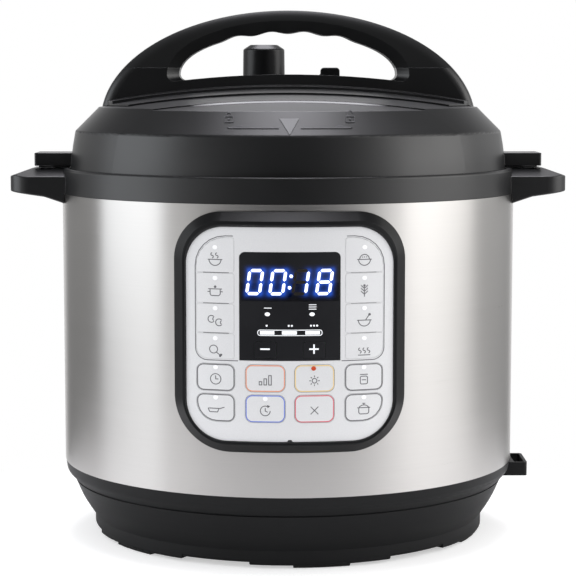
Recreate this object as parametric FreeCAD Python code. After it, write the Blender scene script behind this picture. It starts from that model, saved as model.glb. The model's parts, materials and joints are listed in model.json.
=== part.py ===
"""Countertop electric pressure cooker, as the separate pieces that it comes apart into.

Millimetres, +Z up, front towards -Y. Pieces are built about the cooker's own upright axis and
written with the origin in the middle of the footprint, on the counter.
"""
import FreeCAD, Part
import math
import os

V = FreeCAD.Vector

# Clearances
FIT = 0.15              # fixed pieces that sit in or on one another
RUN = 0.3               # pieces that move past one another
TURN_FIT = 0.08         # turning fit of the steam release on its pipe
SEAT = 0.2              # pot on its heating plate, seal on the pot's rim
OVER = 1.0              # cuts reach past a face, and joined pieces into one another
TOUCH = 0.01            # edges and faces nearer than this are taken as one

# Inner pot
POT_OUT_R = 110.6
POT_WALL = 1.2
POT_FLOOR = 4.5
POT_H = 155.0
POT_UP = 15.5           # floor of the pot above the rim of the base
POT_CORNER = 14.0
POT_RIM_REACH = 5.0
POT_RIM_T = 2.0
POT_RIM_ROUND = 0.8
POT_RIM_ABOVE_FLANGE = 4.0

# Cooker liner and its bayonet flange
WELL_GAP = 2.0
LINER_T = 1.2
LINER_CORNER = 3.0
FLANGE_W = 5.2
FLANGE_T = 2.5
FLANGE_BELOW_RING_TOP = 13.3
LUGS = 6
LUG_SPAN = 24.0
LUG_REACH = 5.0
LUG_CLEAR = 1.0
LUG_GAP = 0.6
LID_LUG_T = 2.6
LINER_SEAT_W = 8.0      # ledge under the heating plate

# Outer casing
FOOT_H = 3.0
BASE_H = 41.5
WRAP_T = 0.8
RING_H = 14.8
RING_WALL = 3.8
RING_INSET = 0.4
RING_DRAFT = 0.4
RING_EDGE = 1.4
SPIGOT_H = 12.0
SPIGOT_T = 2.8
TROUGH_DEPTH = 20.3     # from the top of the ring to the floor of the drip trough
TROUGH_FLOOR = 2.5
TROUGH_WALL = 2.4
RIM_GAP = 1.0           # between the lid's skirt and the ring

# Base housing
BASE_WALL = 3.0
RIM_STEP = 0.2
BAND_H = 12.2           # band below the steel, down to the ledge on top of the cone
BAND_INSET = 6.6
BAND_SHOULDER_H = 6.5
BAND_SHOULDER_INSET = 1.2
BAND_ROUND = 5.0
CONE_TOP_INSET = 5.9
CONE_BELLY_INSET = 10.4
CONE_FOOT_INSET = 17.6
CONE_ROUND = 55.0
SKIRT_INSET = 18.0
SKIRT_H = 7.2
SKIRT_STEP = 0.6
SKIRT_ROUND = 2.0
BASE_SPIGOT_H = 7.5
FEET = 6
FOOT_SPAN = 16.0
FOOT_TURN = -81.0       # direction of the first foot, from +X
FOOT_T = 1.6
FOOT_EDGE = 0.8
LOBE_SPAN = 40.0        # part of the base that reaches down to each foot
LOBE_W = 11.0
LOBE_EDGE = 1.2
VENTS = 12
VENT_IN_R = 62.0
VENT_L = 26.0
VENT_W = 4.0
VENT_ROUND = 1.8

# Posts that carry the liner, and their screws
POSTS = 4
POST_TURN = 45.0
POST_R = 6.0
POST_INSET = 10.0       # from the liner's outside to the middle of a post
SCREW_R = 2.0
SCREW_HEAD_R = 4.0
SCREW_HEAD_H = 3.0
SCREW_SINK = 2.0
SCREW_ROOM = 0.1

# Utensil bracket on the right of the base
BRACKET_REACH = 10.0
BRACKET_W = 30.0
BRACKET_H = 8.3
BRACKET_WALL = 1.8
BRACKET_BELOW_RIM = 4.2
BRACKET_CORNER = 2.0

# Side handles
HANDLE_REACH = 29.8     # from the steel to the end of the handle
HANDLE_HALF_W = 32.0
HANDLE_END_H = 9.0
HANDLE_END_Z_DROP = 13.6
HANDLE_BEND_REACH = 8.4 # from the steel to the bend of the underside
HANDLE_BEND_DROP = 16.7
HANDLE_ROOT_INSET = 3.8
HANDLE_ROOT_DROP = 20.8
HANDLE_TOP_RUN = 12.0   # sloping length of the top, from the end inwards
HANDLE_TOP_DROP = 0.3
HANDLE_RIDGE_HALF_W = 12.0  # of the flat of the top, between its front and back slopes
HANDLE_CORNER = 12.0
HANDLE_EDGE = 0.8
SLOT_X = 10.4
SLOT_Y = 31.0
SLOT_FROM_STEEL = 5.0
SLOT_CORNER = 1.0

# Heating plate, its element and its sensor
PLATE_T = 8.0
PLATE_INSET = 13.6      # from the outside of the pot to the edge of the plate
PLATE_EDGE = 1.2
PLATE_HOLE_R = 16.0
ELEMENT_INSET = 31.0    # from the edge of the plate to the middle of the element
ELEMENT_W = 12.0
ELEMENT_H = 7.6
ELEMENT_EDGE = 2.5
TERMINAL_R = 2.5
TERMINAL_L = 8.0
TERMINAL_TURN = 12.0
SENSOR_CAP_T = 2.5
SENSOR_STEM_R = 6.0
SENSOR_STEM_L = 24.0
SENSOR_TRAVEL = 2.0
TOWER_WALL = 2.6
SPRING_WIRE = 1.2
SPRING_TURNS = 4
SPRING_H = 12.6
SWITCH_X = -42.0
SWITCH_Y = -24.0
SWITCH_W = 16.0
SWITCH_D = 10.0
SWITCH_H = 20.0
SWITCH_PIN_R = 2.0
FUSE_R = 2.5
FUSE_L = 22.0
FUSE_INSET = 16.0

# Front panel, with heights from its middle
PANEL_BELOW_STEEL_TOP = 70.5
BEZEL_HALF_W = 64.0
BEZEL_UP = 66.7
BEZEL_DOWN = 66.5
BEZEL_PROUD = 5.8
BEZEL_TOP_CORNER = 27.0
BEZEL_LOW_CORNER = 31.0
BEZEL_SLOPE = 5.0       # of the outside, which leans back towards the steel
BEZEL_IN_EDGE = 1.2
FASCIA_HALF_W = 57.3
FASCIA_UP = 58.7
FASCIA_DOWN = 59.8
FASCIA_PROUD = 4.1
FASCIA_T = 2.2
FASCIA_TOP_CORNER = 21.0
FASCIA_LOW_CORNER = 22.5
LEDGE_W = 2.5           # of the bezel behind the edge of the fascia
WINDOW_HALF_W = 27.6
WINDOW_DOWN = 14.6
WINDOW_UP = 44.9
WINDOW_CORNER = 3.0

# Keys, with heights from the middle of the panel
KEY_PROUD = 0.2
KEY_T = 1.8
KEY_CLEAR = 0.2
KEY_TRAVEL = 0.5
KEY_EDGE = 0.15
KEY_CORNER = 1.2
KEY_STEM_R = 2.2
SIDE_KEY_X0 = 30.6
SIDE_KEY_X1 = 51.2
SIDE_KEY_BOUNDS = (53.0, 33.4, 16.5, 0.1, -14.3)
SIDE_KEY_WEB = 0.8
SIDE_KEY_TOP_CORNER = 16.0
SIDE_KEY_LOW_CORNER = 6.0
LOW_KEY_COLUMNS = ((-51.3, -30.3), (-24.4, -2.6), (2.6, 24.4), (30.3, 51.3))
LOW_KEY_ROWS = ((-31.9, -17.0), (-48.9, -33.7))
LOW_KEY_CORNER = 3.8
LOW_KEY_END_CORNER = 11.0
SIGN_KEY_X = 13.4
SIGN_KEY_DOWN = 8.7
SIGN_KEY_HALF_W = 6.0
SIGN_KEY_HALF_H = 4.4

# Electronics
BOARD_T = 1.6
BOARD_BEHIND_STEEL = 15.6
BOARD_HALF_W = 50.0
BOARD_MARGIN = 2.0      # from the fascia's top and bottom to the board's
TACT_H = 3.5
TACT_HALF = 3.0
LED_HALF_W = 26.0
LED_UP = (5.5, 41.5)    # from the middle of the panel
LED_FRONT_GAP = 2.0
BOSS_X = 14.0
BOSS_INSET = 6.0        # from the fascia's top and bottom edges
BOSS_R = 3.4
BOARD_SCREW_R = 1.4
BOARD_SCREW_HEAD_R = 2.8
BOARD_SCREW_HEAD_H = 1.8
BOARD_SCREW_L = 9.0
POWER_HALF_X = 38.0
POWER_Y0 = 34.0
POWER_Y1 = 78.0
POWER_STAND = 6.0
POWER_POST_R = 3.0
POWER_POST_INSET = 5.0
RELAY = (-26.0, 56.0, 18.0, 14.0, 15.0)         # middle x, middle y, x, y and z sizes
TRANSFORMER = (4.0, 58.0, 26.0, 22.0, 19.0)
CAPACITOR_X = 30.0
CAPACITOR_Y = 66.0
CAPACITOR_R = 5.0
CAPACITOR_H = 14.0
RIBBON_FROM_SCREW = 0.6
RIBBON_W = 10.0
RIBBON_T = 1.0
RIBBON_PLUG = 6.0
RIBBON_RISE = 9.0       # of the cable's run above the power board
REED_R = 2.0
REED_L = 8.0
REED_FROM_END = 9.0

# Mains inlet at the back of the base
INLET_Z = 23.0
INLET_HALF_X = 13.7
INLET_HALF_Z = 9.9
INLET_WALL = 1.7
INLET_DEPTH = 20.0
INLET_BACK = 6.0
INLET_FLANGE = 3.5
INLET_FLANGE_T = 2.0
INLET_PAD_MARGIN = 6.0
INLET_PAD_PROUD = 0.9
INLET_PAD_CORNER = 3.0
PIN_W = 2.0
PIN_H = 4.0
PIN_L = 12.0
PIN_TAIL = 6.0
PIN_X = 7.0
PIN_DROP = 2.0
PIN_EARTH_RISE = 3.5

# Drip cup at the back, and what it hangs on
CUP_HALF_W = 29.0
CUP_H = 58.0
CUP_D = 25.8
CUP_WALL = 1.8
CUP_CORNER = 6.0
CUP_BELOW_SPOUT = 1.8
CUP_RIB_T = 2.2
CUP_RIB_W = 4.4
HANGER_T = 2.8
HANGER_H = 44.0
HANGER_CORNER = 5.0
ARM_W = 3.0
ARM_H = 5.0
ARM_L = 19.0
ARM_X = 23.0
SPOUT_HALF_W = 6.0
SPOUT_L = 11.0
SPOUT_WALL = 2.0
SPOUT_DROP = 1.0
SPOUT_H = 5.6

# Lid plate, seal and seal rack
LID_T = 1.5
LID_ROUND = 2.5
SEAL_H = 9.5
SEAL_INWARD = 6.1       # of the pot's outside
SEAL_OUTWARD = 7.9
SEAL_LIP = 2.6
SEAL_BODY = 4.6
RACK_T = 1.2
RACK_H = 7.6
LID_RISE = 10.0
LID_SLOPE_W = 16.0
LID_SLOPE_ROUND = 4.0

# Lid cover
COVER_T = 2.6
COVER_SKIRT_DROP = 7.0
COVER_EDGE_OUT = 5.9    # from the lid plate's wall to the cover's lower edge
COVER_WALL_H = 22.2
COVER_WALL_DRAFT = 2.9
COVER_BELLY_INSET = 0.9
COVER_BELLY_UP = 11.0
COVER_BELLY_ROUND = 120.0
COVER_CREASE_ROUND = 3.0
COVER_SLOPE = 15.3
COVER_SLOPE_TURN = 45.0 # of the slope from the wall
CROWN_H = 47.2          # top of the dome above the ring
CROWN_R = 628.0
CROWN_STEP = 0.8
CROWN_BAND_HALF_W = 86.0
COVER_SHOULDER_H = 4.0
FIN_REACH = 21.4
FIN_HALF_W = 14.0
FIN_T = 7.8
FIN_GAP = 1.1
FIN_CORNER = 1.2
MAGNET_R = 3.0
MAGNET_L = 4.8
MAGNET_FROM_END = 8.0

# Carrying handle of the lid
LOOP_INSET = 18.9       # from the lower edge of the cover to the end of the handle
LOOP_DROP = 19.0        # middle of the arch below the top of the dome
LOOP_H = 66.3
LOOP_HALF_W = 17.0
LOOP_EDGE = 6.0
HOLE_HALF_L = 66.0
HOLE_H = 24.7
HOLE_FLARE_L = 7.0
HOLE_FLARE_H = 7.5
HOLE_UP = 9.0           # middle of the hole above the top of the dome
HOLE_WAIST_HALF_W = 11.0
HOLE_CORNER = 4.0
GROOVE_PITCH = 21.0
FINGER_GROOVE = 1.6
FINGERS = 4
BAR_SAG = 3.5
BAR_SAG_AT = 63.0
ARCH_POINTS = 12        # of the curve over each finger
CORNER_DIP = 0.3        # how far along its way in the hole's low corner bends
LOOP_SEAM_UP = 13.0
STEP_INSET = 22.4       # from the lower edge of the cover to the end of the steps
STEP_CORNER = 2.0
STEPS = ((34.0, 30.0, 2.9), (58.0, 32.0, 1.1))  # front and back half width, height
LID_SCREW_INSET = 9.0   # from the edge of the lid plate's raised middle
LID_SCREW_Y = 9.0
LID_SCREW_TOP_UP = 5.0
LID_SCREW_HEAD_H = 1.8
LID_BOSS_R = 5.0

# Steam pipe and its release
PIPE_X = -15.0
PIPE_Y = 62.0
PIPE_OUT_R = 5.0
PIPE_BORE_R = 2.5
PIPE_TOP_UP = 3.0
PIPE_BELOW_PLATE = 9.0
PIPE_FLANGE_R = 9.0
PIPE_FLANGE_T = 3.0
PIPE_ROOM = 1.0         # round the pipe in the cover
NUT_SIDES = 6
NUT_R = 9.6
NUT_H = 6.0
SHIELD_R = 16.0
SHIELD_T = 1.0
SHIELD_H = 14.5
SHIELD_ON_NUT = 2.0
SHIELD_SLOTS = 8
SHIELD_SLOT_W = 3.0
SHIELD_SLOT_H = 8.0
KNOB_R = 13.5
KNOB_TOP_R = 13.2
KNOB_FLAT_R = 8.7
KNOB_CHAMFER_H = 2.9
KNOB_H = 29.2
KNOB_LIFT = 2.0         # above the dome
KNOB_EDGE = 1.6
LEVER_L = 48.5
LEVER_HALF_W = 6.0
LEVER_LIFT = 3.6
LEVER_T = 6.5
TAB_L = 12.2
TAB_RISE = 4.7          # of the tab at the lever's end
LEVER_EDGE = 1.4
PIN_R = 3.2
PIN_LENGTH = 8.0
PIN_LIFT = 0.3

# Float valve
FLOAT_X = 28.0
FLOAT_Y = 46.0
FLOAT_STEM_R = 3.6
FLOAT_HEAD_R = 5.0
FLOAT_HEAD_H = 7.0
FLOAT_HEAD_ROUND = 1.0
FLOAT_SINK = 0.6        # head below the dome at rest
FLOAT_TRAVEL = 6.0
FLOAT_GUIDE_WALL = 2.0
FLOAT_SEAL_R = 7.0
FLOAT_SEAL_H = 4.0
FLOAT_SEAL_LIFT_LEFT = 0.4

# Radii outwards from the pot
LINER_IN_R = POT_OUT_R + WELL_GAP
LINER_OUT_R = LINER_IN_R + LINER_T
PLATE_R = POT_OUT_R - PLATE_INSET
ELEMENT_R = PLATE_R - ELEMENT_INSET
SEAL_IN_R = POT_OUT_R - SEAL_INWARD
SEAL_OUT_R = POT_OUT_R + SEAL_OUTWARD
FLANGE_R = LINER_OUT_R + FLANGE_W
LUG_R = FLANGE_R + LUG_REACH
LID_WALL_IN_R = LUG_R + LUG_CLEAR
LID_WALL_R = LID_WALL_IN_R + LID_T
LID_LUG_IN_R = FLANGE_R + LUG_CLEAR
COVER_R = LID_WALL_R + COVER_EDGE_OUT
RING_IN_R = COVER_R + RIM_GAP
RING_R = RING_IN_R + RING_WALL
BODY_R = RING_R + RING_INSET
SPIGOT_R = BODY_R - WRAP_T - FIT
POST_RING_R = LINER_OUT_R - POST_INSET
LID_SLOPE_R = SEAL_IN_R - RACK_T - RUN - LID_SLOPE_ROUND / 2
LID_CENTRE_R = LID_SLOPE_R - LID_SLOPE_W
LID_SCREW_X = LID_CENTRE_R - LID_SCREW_INSET
LOOP_HALF_L = COVER_R - LOOP_INSET
STEP_R = COVER_R - STEP_INSET
SKIRT_R = BODY_R - SKIRT_INSET

# Heights upwards from the counter
BASE_TOP_Z = FOOT_H + BASE_H
FLOOR_Z = FOOT_H + BASE_WALL
CONE_Z = FOOT_H + SKIRT_H + SKIRT_STEP
BAND_Z = BASE_TOP_Z - BAND_H
POT_Z = BASE_TOP_Z + POT_UP
POT_RIM_Z = POT_Z + POT_H
FLANGE_Z = POT_RIM_Z - POT_RIM_ABOVE_FLANGE - FLANGE_T
RING_TOP_Z = FLANGE_Z + FLANGE_BELOW_RING_TOP
WRAP_TOP_Z = RING_TOP_Z - RING_H
TROUGH_Z = RING_TOP_Z - TROUGH_DEPTH
PLATE_TOP_Z = POT_Z - SEAT
PLATE_Z = PLATE_TOP_Z - PLATE_T
LINER_Z = PLATE_Z - LINER_T
LID_LUG_TOP_Z = FLANGE_Z - LUG_GAP
LID_LUG_Z = LID_LUG_TOP_Z - LID_LUG_T
SEAL_Z = POT_RIM_Z + SEAT
SEAL_ROOF_Z = SEAL_Z + SEAL_H + RUN
LID_CENTRE_Z = SEAL_ROOF_Z + LID_RISE
LID_CENTRE_TOP_Z = LID_CENTRE_Z + LID_T
CROWN_Z = RING_TOP_Z + CROWN_H
TOWER_R = SENSOR_STEM_R + RUN + TOWER_WALL
TOWER_TOP_Z = PLATE_TOP_Z - SENSOR_CAP_T - SPRING_H - RUN

# Radii and depths of the front panel
PANEL_BACK_R = BODY_R + FIT
BEZEL_R = BODY_R + BEZEL_PROUD
FASCIA_R = BODY_R + FASCIA_PROUD
FASCIA_BACK_R = FASCIA_R - FASCIA_T
KEY_R = FASCIA_R + KEY_PROUD
KEY_BACK_R = KEY_R - KEY_T
BOARD_FRONT_Y = BOARD_BEHIND_STEEL - BODY_R
TACT_Y = BOARD_FRONT_Y - TACT_H
BOARD_BACK_Y = BOARD_FRONT_Y + BOARD_T
PANEL_MID_Z = WRAP_TOP_Z - PANEL_BELOW_STEEL_TOP
FASCIA_TOP_Z = PANEL_MID_Z + FASCIA_UP
FASCIA_LOW_Z = PANEL_MID_Z - FASCIA_DOWN
BOSS_ROWS = (FASCIA_LOW_Z + BOSS_INSET, FASCIA_TOP_Z - BOSS_INSET)

# Back of the cooker
SPOUT_Z = TROUGH_Z - SPOUT_DROP - SPOUT_WALL
CUP_TOP_Z = SPOUT_Z - CUP_BELOW_SPOUT
HANGER_R = BODY_R + FIT + HANGER_T
CUP_FRONT_Y = HANGER_R + RUN
ARM_TOP_Z = CUP_TOP_Z - CUP_RIB_T - RUN
INLET_PAD_Y = BODY_R + INLET_PAD_PROUD
INLET_MOUTH_Y = INLET_PAD_Y + INLET_FLANGE_T
INLET_WALL_Y = INLET_MOUTH_Y - INLET_DEPTH

# The pot's axis lies this far behind the middle of the footprint
FRONT_REACH = BEZEL_R
REAR_REACH = CUP_FRONT_Y + CUP_D
AXIS_Y = (FRONT_REACH - REAR_REACH) / 2


# Plain shapes

def box(x0, x1, y0, y1, z0, z1):
    return Part.makeBox(x1 - x0, y1 - y0, z1 - z0, V(x0, y0, z0))


def rod(radius, x, y, z0, z1):
    return Part.makeCylinder(radius, z1 - z0, V(x, y, z0))


def rod_y(radius, x, z, y0, y1):
    return Part.makeCylinder(radius, y1 - y0, V(x, y0, z), V(0, 1, 0))


def ring(r_in, r_out, z0, z1):
    return rod(r_out, 0, 0, z0, z1).cut(rod(r_in, 0, 0, z0 - OVER, z1 + OVER))


def turned(shape, degrees):
    copy = shape.copy()
    copy.rotate(V(0, 0, 0), V(0, 0, 1), degrees)
    return copy


def moved(shape, x, y, z):
    copy = shape.copy()
    copy.translate(V(x, y, z))
    return copy


def joined(shapes):
    first, *rest = shapes
    return first.fuse(rest).removeSplitter() if rest else first


def rounded_wire(corners, place):
    """Closed wire through (u, v, radius) corners, each rounded by its own radius."""
    spans = []
    for i, (u, v, radius) in enumerate(corners):
        corner = V(u, v, 0)
        before = (V(*corners[i - 1][:2], 0) - corner).normalize()
        after = (V(*corners[(i + 1) % len(corners)][:2], 0) - corner).normalize()
        half = before.getAngle(after) / 2
        reach = radius / math.tan(half)
        inward = (before + after).normalize() if radius else V(0, 0, 0)
        middle = corner + inward * (radius / math.sin(half) - radius)
        spans.append((corner + before * reach, middle, corner + after * reach, radius))
    edges = []
    for i, (start, middle, end, radius) in enumerate(spans):
        if radius:
            edges.append(Part.Arc(place(start), place(middle), place(end)).toShape())
        following = spans[(i + 1) % len(spans)][0]
        if (following - end).Length > TOUCH / 100:
            edges.append(Part.makeLine(place(end), place(following)))
    return Part.Wire(edges)


def with_radius(points):
    return [point if len(point) == 3 else (*point, 0) for point in points]


def spun(points, degrees=360):
    """Solid of revolution about the cooker's axis, from (radius, height[, rounding]) corners."""
    wire = rounded_wire(with_radius(points), lambda p: V(p.x, 0, p.y))
    return Part.Face(wire).revolve(V(0, 0, 0), V(0, 0, 1), degrees)


def along_y(points, y0, y1):
    """Prism along Y, from (x, z[, rounding]) corners."""
    wire = rounded_wire(with_radius(points), lambda p: V(p.x, y0, p.y))
    return Part.Face(wire).extrude(V(0, y1 - y0, 0))


def upright(points, z0, z1):
    """Prism along Z, from (x, y[, rounding]) corners."""
    wire = rounded_wire(with_radius(points), lambda p: V(p.x, p.y, z0))
    return Part.Face(wire).extrude(V(0, 0, z1 - z0))


def sector(r_in, r_out, z0, z1, middle, span):
    block = spun([(r_in, z0), (r_out, z0), (r_out, z1), (r_in, z1)], span)
    return turned(block, middle - span / 2)


def around(shape, count, first=0.0):
    return [turned(shape, first + i * 360 / count) for i in range(count)]


def rectangle(x0, x1, z0, z1, radii):
    """Corners of a rectangle, rounded in the order low left, low right, top right, top left."""
    return [(x0, z0, radii[0]), (x1, z0, radii[1]), (x1, z1, radii[2]), (x0, z1, radii[3])]


def front_patch(corners, r_in, r_out):
    """Piece of the curved front between two radii, with the outline seen from the front."""
    height = [z for _, z, _ in corners]
    shell = ring(r_in, r_out, min(height) - OVER, max(height) + OVER)
    return shell.common(along_y(corners, -r_out - OVER, -r_in / 2))


def edges_where(shape, test):
    return [edge for edge in shape.Edges if test(edge.CenterOfMass, edge.BoundBox)]


def softened(shape, radius, test):
    return shape.makeFillet(radius, edges_where(shape, test))


# Pot and liner

def inner_pot():
    rim_r = POT_OUT_R + POT_RIM_REACH
    rim_z = POT_RIM_Z - POT_RIM_T
    in_r = POT_OUT_R - POT_WALL
    return spun([
        (0, POT_Z), (POT_OUT_R, POT_Z, POT_CORNER), (POT_OUT_R, rim_z),
        (rim_r, rim_z, POT_RIM_ROUND), (rim_r, POT_RIM_Z, POT_RIM_ROUND), (in_r, POT_RIM_Z, POT_WALL),
        (in_r, POT_Z + POT_FLOOR, POT_CORNER - POT_WALL), (0, POT_Z + POT_FLOOR)])


def bayonet(r_in, r_out, z0, z1):
    return around(sector(r_in, r_out, z0, z1, 0, LUG_SPAN), LUGS, 180 / LUGS)


def cooker_liner():
    seat_r = PLATE_R - LINER_SEAT_W
    top_z = FLANGE_Z + FLANGE_T
    wall = spun([
        (seat_r, LINER_Z), (LINER_OUT_R, LINER_Z, LINER_CORNER + LINER_T), (LINER_OUT_R, FLANGE_Z),
        (FLANGE_R, FLANGE_Z), (FLANGE_R, top_z), (LINER_IN_R, top_z, LINER_T),
        (LINER_IN_R, PLATE_Z, LINER_CORNER), (seat_r, PLATE_Z)])
    lugs = bayonet(FLANGE_R - OVER, LUG_R, FLANGE_Z, top_z)
    holes = [rod(SCREW_R + SCREW_ROOM, x, y, LINER_Z - OVER, PLATE_Z + OVER) for x, y in post_places()]
    return joined([wall] + lugs).cut(holes)


# Base

def post_places():
    angles = [math.radians(POST_TURN + i * 360 / POSTS) for i in range(POSTS)]
    return [(POST_RING_R * math.cos(a), POST_RING_R * math.sin(a)) for a in angles]


def power_post_places():
    xs = (-POWER_HALF_X + POWER_POST_INSET, POWER_HALF_X - POWER_POST_INSET)
    ys = (POWER_Y0 + POWER_POST_INSET, POWER_Y1 - POWER_POST_INSET)
    return [(x, y) for x in xs for y in ys]


def base_outside():
    belly_z = (CONE_Z + BAND_Z) / 2
    return spun([
        (0, FOOT_H), (SKIRT_R, FOOT_H, SKIRT_ROUND), (SKIRT_R, FOOT_H + SKIRT_H),
        (BODY_R - CONE_FOOT_INSET, CONE_Z), (BODY_R - CONE_BELLY_INSET, belly_z, CONE_ROUND),
        (BODY_R - CONE_TOP_INSET, BAND_Z), (BODY_R - BAND_INSET, BAND_Z),
        (BODY_R - BAND_SHOULDER_INSET, BASE_TOP_Z - BAND_SHOULDER_H, BAND_ROUND),
        (BODY_R - RIM_STEP, BASE_TOP_Z), (SPIGOT_R, BASE_TOP_Z), (SPIGOT_R, BASE_TOP_Z + BASE_SPIGOT_H),
        (0, BASE_TOP_Z + BASE_SPIGOT_H)])


def base_inside():
    spigot_in_r = SPIGOT_R - SPIGOT_T
    top_z = BASE_TOP_Z + BASE_SPIGOT_H + OVER
    return spun([
        (0, FLOOR_Z), (SKIRT_R - BASE_WALL, FLOOR_Z, SKIRT_ROUND), (SKIRT_R - BASE_WALL, CONE_Z),
        (BODY_R - BAND_INSET - BASE_WALL, BAND_Z),
        (spigot_in_r, BASE_TOP_Z - BAND_SHOULDER_H + BASE_WALL), (spigot_in_r, top_z), (0, top_z)])


def bracket_box():
    top = BASE_TOP_Z - BRACKET_BELOW_RIM
    inner_x = BODY_R - BAND_INSET - BASE_WALL
    return inner_x, BODY_R - RIM_STEP + BRACKET_REACH, top - BRACKET_H, top


def utensil_bracket():
    x0, x1, z0, z1 = bracket_box()
    corners = (0, BRACKET_CORNER, BRACKET_CORNER, 0)
    outside = upright(rectangle(x0, x1, -BRACKET_W / 2, BRACKET_W / 2, corners), z0, z1)
    slot_x0 = BODY_R + BRACKET_WALL
    slot_half = BRACKET_W / 2 - BRACKET_WALL
    slot_outline = rectangle(slot_x0, x1 - BRACKET_WALL, -slot_half, slot_half, [SLOT_CORNER] * 4)
    slot = upright(slot_outline, z0 - OVER, z1 + OVER)
    return outside, slot


def base_housing():
    bracket, slot = utensil_bracket()
    pad_x = INLET_HALF_X + INLET_PAD_MARGIN
    pad_z = INLET_HALF_Z + INLET_PAD_MARGIN
    pad_outline = rectangle(-pad_x, pad_x, INLET_Z - pad_z, INLET_Z + pad_z, [INLET_PAD_CORNER] * 4)
    pad = along_y(pad_outline, 0, INLET_PAD_Y)
    shell = joined([base_outside(), bracket, pad] + foot_lobes()).cut([base_inside(), slot])
    posts = [rod(POST_R, x, y, FLOOR_Z - OVER, LINER_Z) for x, y in post_places()]
    posts += [rod(POWER_POST_R, x, y, FLOOR_Z - OVER, FLOOR_Z + POWER_STAND) for x, y in power_post_places()]
    tower = rod(TOWER_R, 0, 0, FLOOR_Z - OVER, TOWER_TOP_Z)
    bore_z = PLATE_TOP_Z - SENSOR_CAP_T - SENSOR_STEM_L - SENSOR_TRAVEL - RUN
    cuts = [rod(SENSOR_STEM_R + RUN, 0, 0, bore_z, TOWER_TOP_Z + OVER)]
    for x, y in post_places():
        cuts.append(rod(SCREW_R + SCREW_ROOM, x, y, 0, LINER_Z + OVER))
        cuts.append(rod(SCREW_HEAD_R + SCREW_ROOM, x, y, 0, FOOT_H + SCREW_SINK + SCREW_HEAD_H))
    vent_x1 = VENT_IN_R + VENT_L
    vent_outline = rectangle(VENT_IN_R, vent_x1, -VENT_W / 2, VENT_W / 2, [VENT_ROUND] * 4)
    vent = upright(vent_outline, 0, FLOOR_Z + OVER)
    cuts += around(vent, VENTS, 180 / VENTS / 2)
    hole_x = INLET_HALF_X + FIT
    hole_z = INLET_HALF_Z + FIT
    cuts.append(box(-hole_x, hole_x, BODY_R / 2, INLET_PAD_Y + OVER, INLET_Z - hole_z, INLET_Z + hole_z))
    return joined([shell, tower] + posts).cut(cuts)


def foot_lobes():
    lobe = sector(SKIRT_R - LOBE_W, SKIRT_R, FOOT_T, FOOT_H + SKIRT_ROUND, 0, LOBE_SPAN)
    lobe = softened(lobe, LOBE_EDGE, lambda middle, _: middle.z < FOOT_T + TOUCH)
    return around(lobe, FEET, FOOT_TURN)


def foot_pads():
    margin = LOBE_EDGE + FIT
    pad = sector(SKIRT_R - LOBE_W + margin, SKIRT_R - margin, 0, FOOT_T, 0, FOOT_SPAN)
    pad = softened(pad, FOOT_EDGE, lambda middle, _: middle.z < FOOT_EDGE / 10)
    return Part.Compound(around(pad, FEET, FOOT_TURN))


def base_screws():
    head_z = FOOT_H + SCREW_SINK
    shank_z = head_z + SCREW_HEAD_H
    screws = []
    for x, y in post_places():
        head = rod(SCREW_HEAD_R, x, y, head_z, shank_z)
        screws.append(joined([head, rod(SCREW_R, x, y, shank_z, PLATE_Z)]))
    return Part.Compound(screws)


# Steel wrap and upper housing

def panel_outline(inset=0.0):
    """Outline of the fascia, drawn in by inset."""
    low = FASCIA_LOW_CORNER - inset
    top = FASCIA_TOP_CORNER - inset
    half = FASCIA_HALF_W - inset
    return rectangle(-half, half, FASCIA_LOW_Z + inset, FASCIA_TOP_Z - inset, (low, low, top, top))


def spout_box(margin=0.0):
    half = SPOUT_HALF_W + margin
    end_y = BODY_R + SPOUT_L
    return box(-half, half, RING_IN_R - RING_WALL, end_y, SPOUT_Z - margin, SPOUT_Z + SPOUT_H + margin)


def steel_wrap():
    wall = ring(BODY_R - WRAP_T, BODY_R, BASE_TOP_Z, WRAP_TOP_Z)
    opening = along_y(panel_outline(LEDGE_W), -BODY_R - OVER, 0)
    return wall.cut([opening, spout_box(FIT)])


def handle_end_x():
    return BODY_R + HANDLE_REACH


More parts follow.
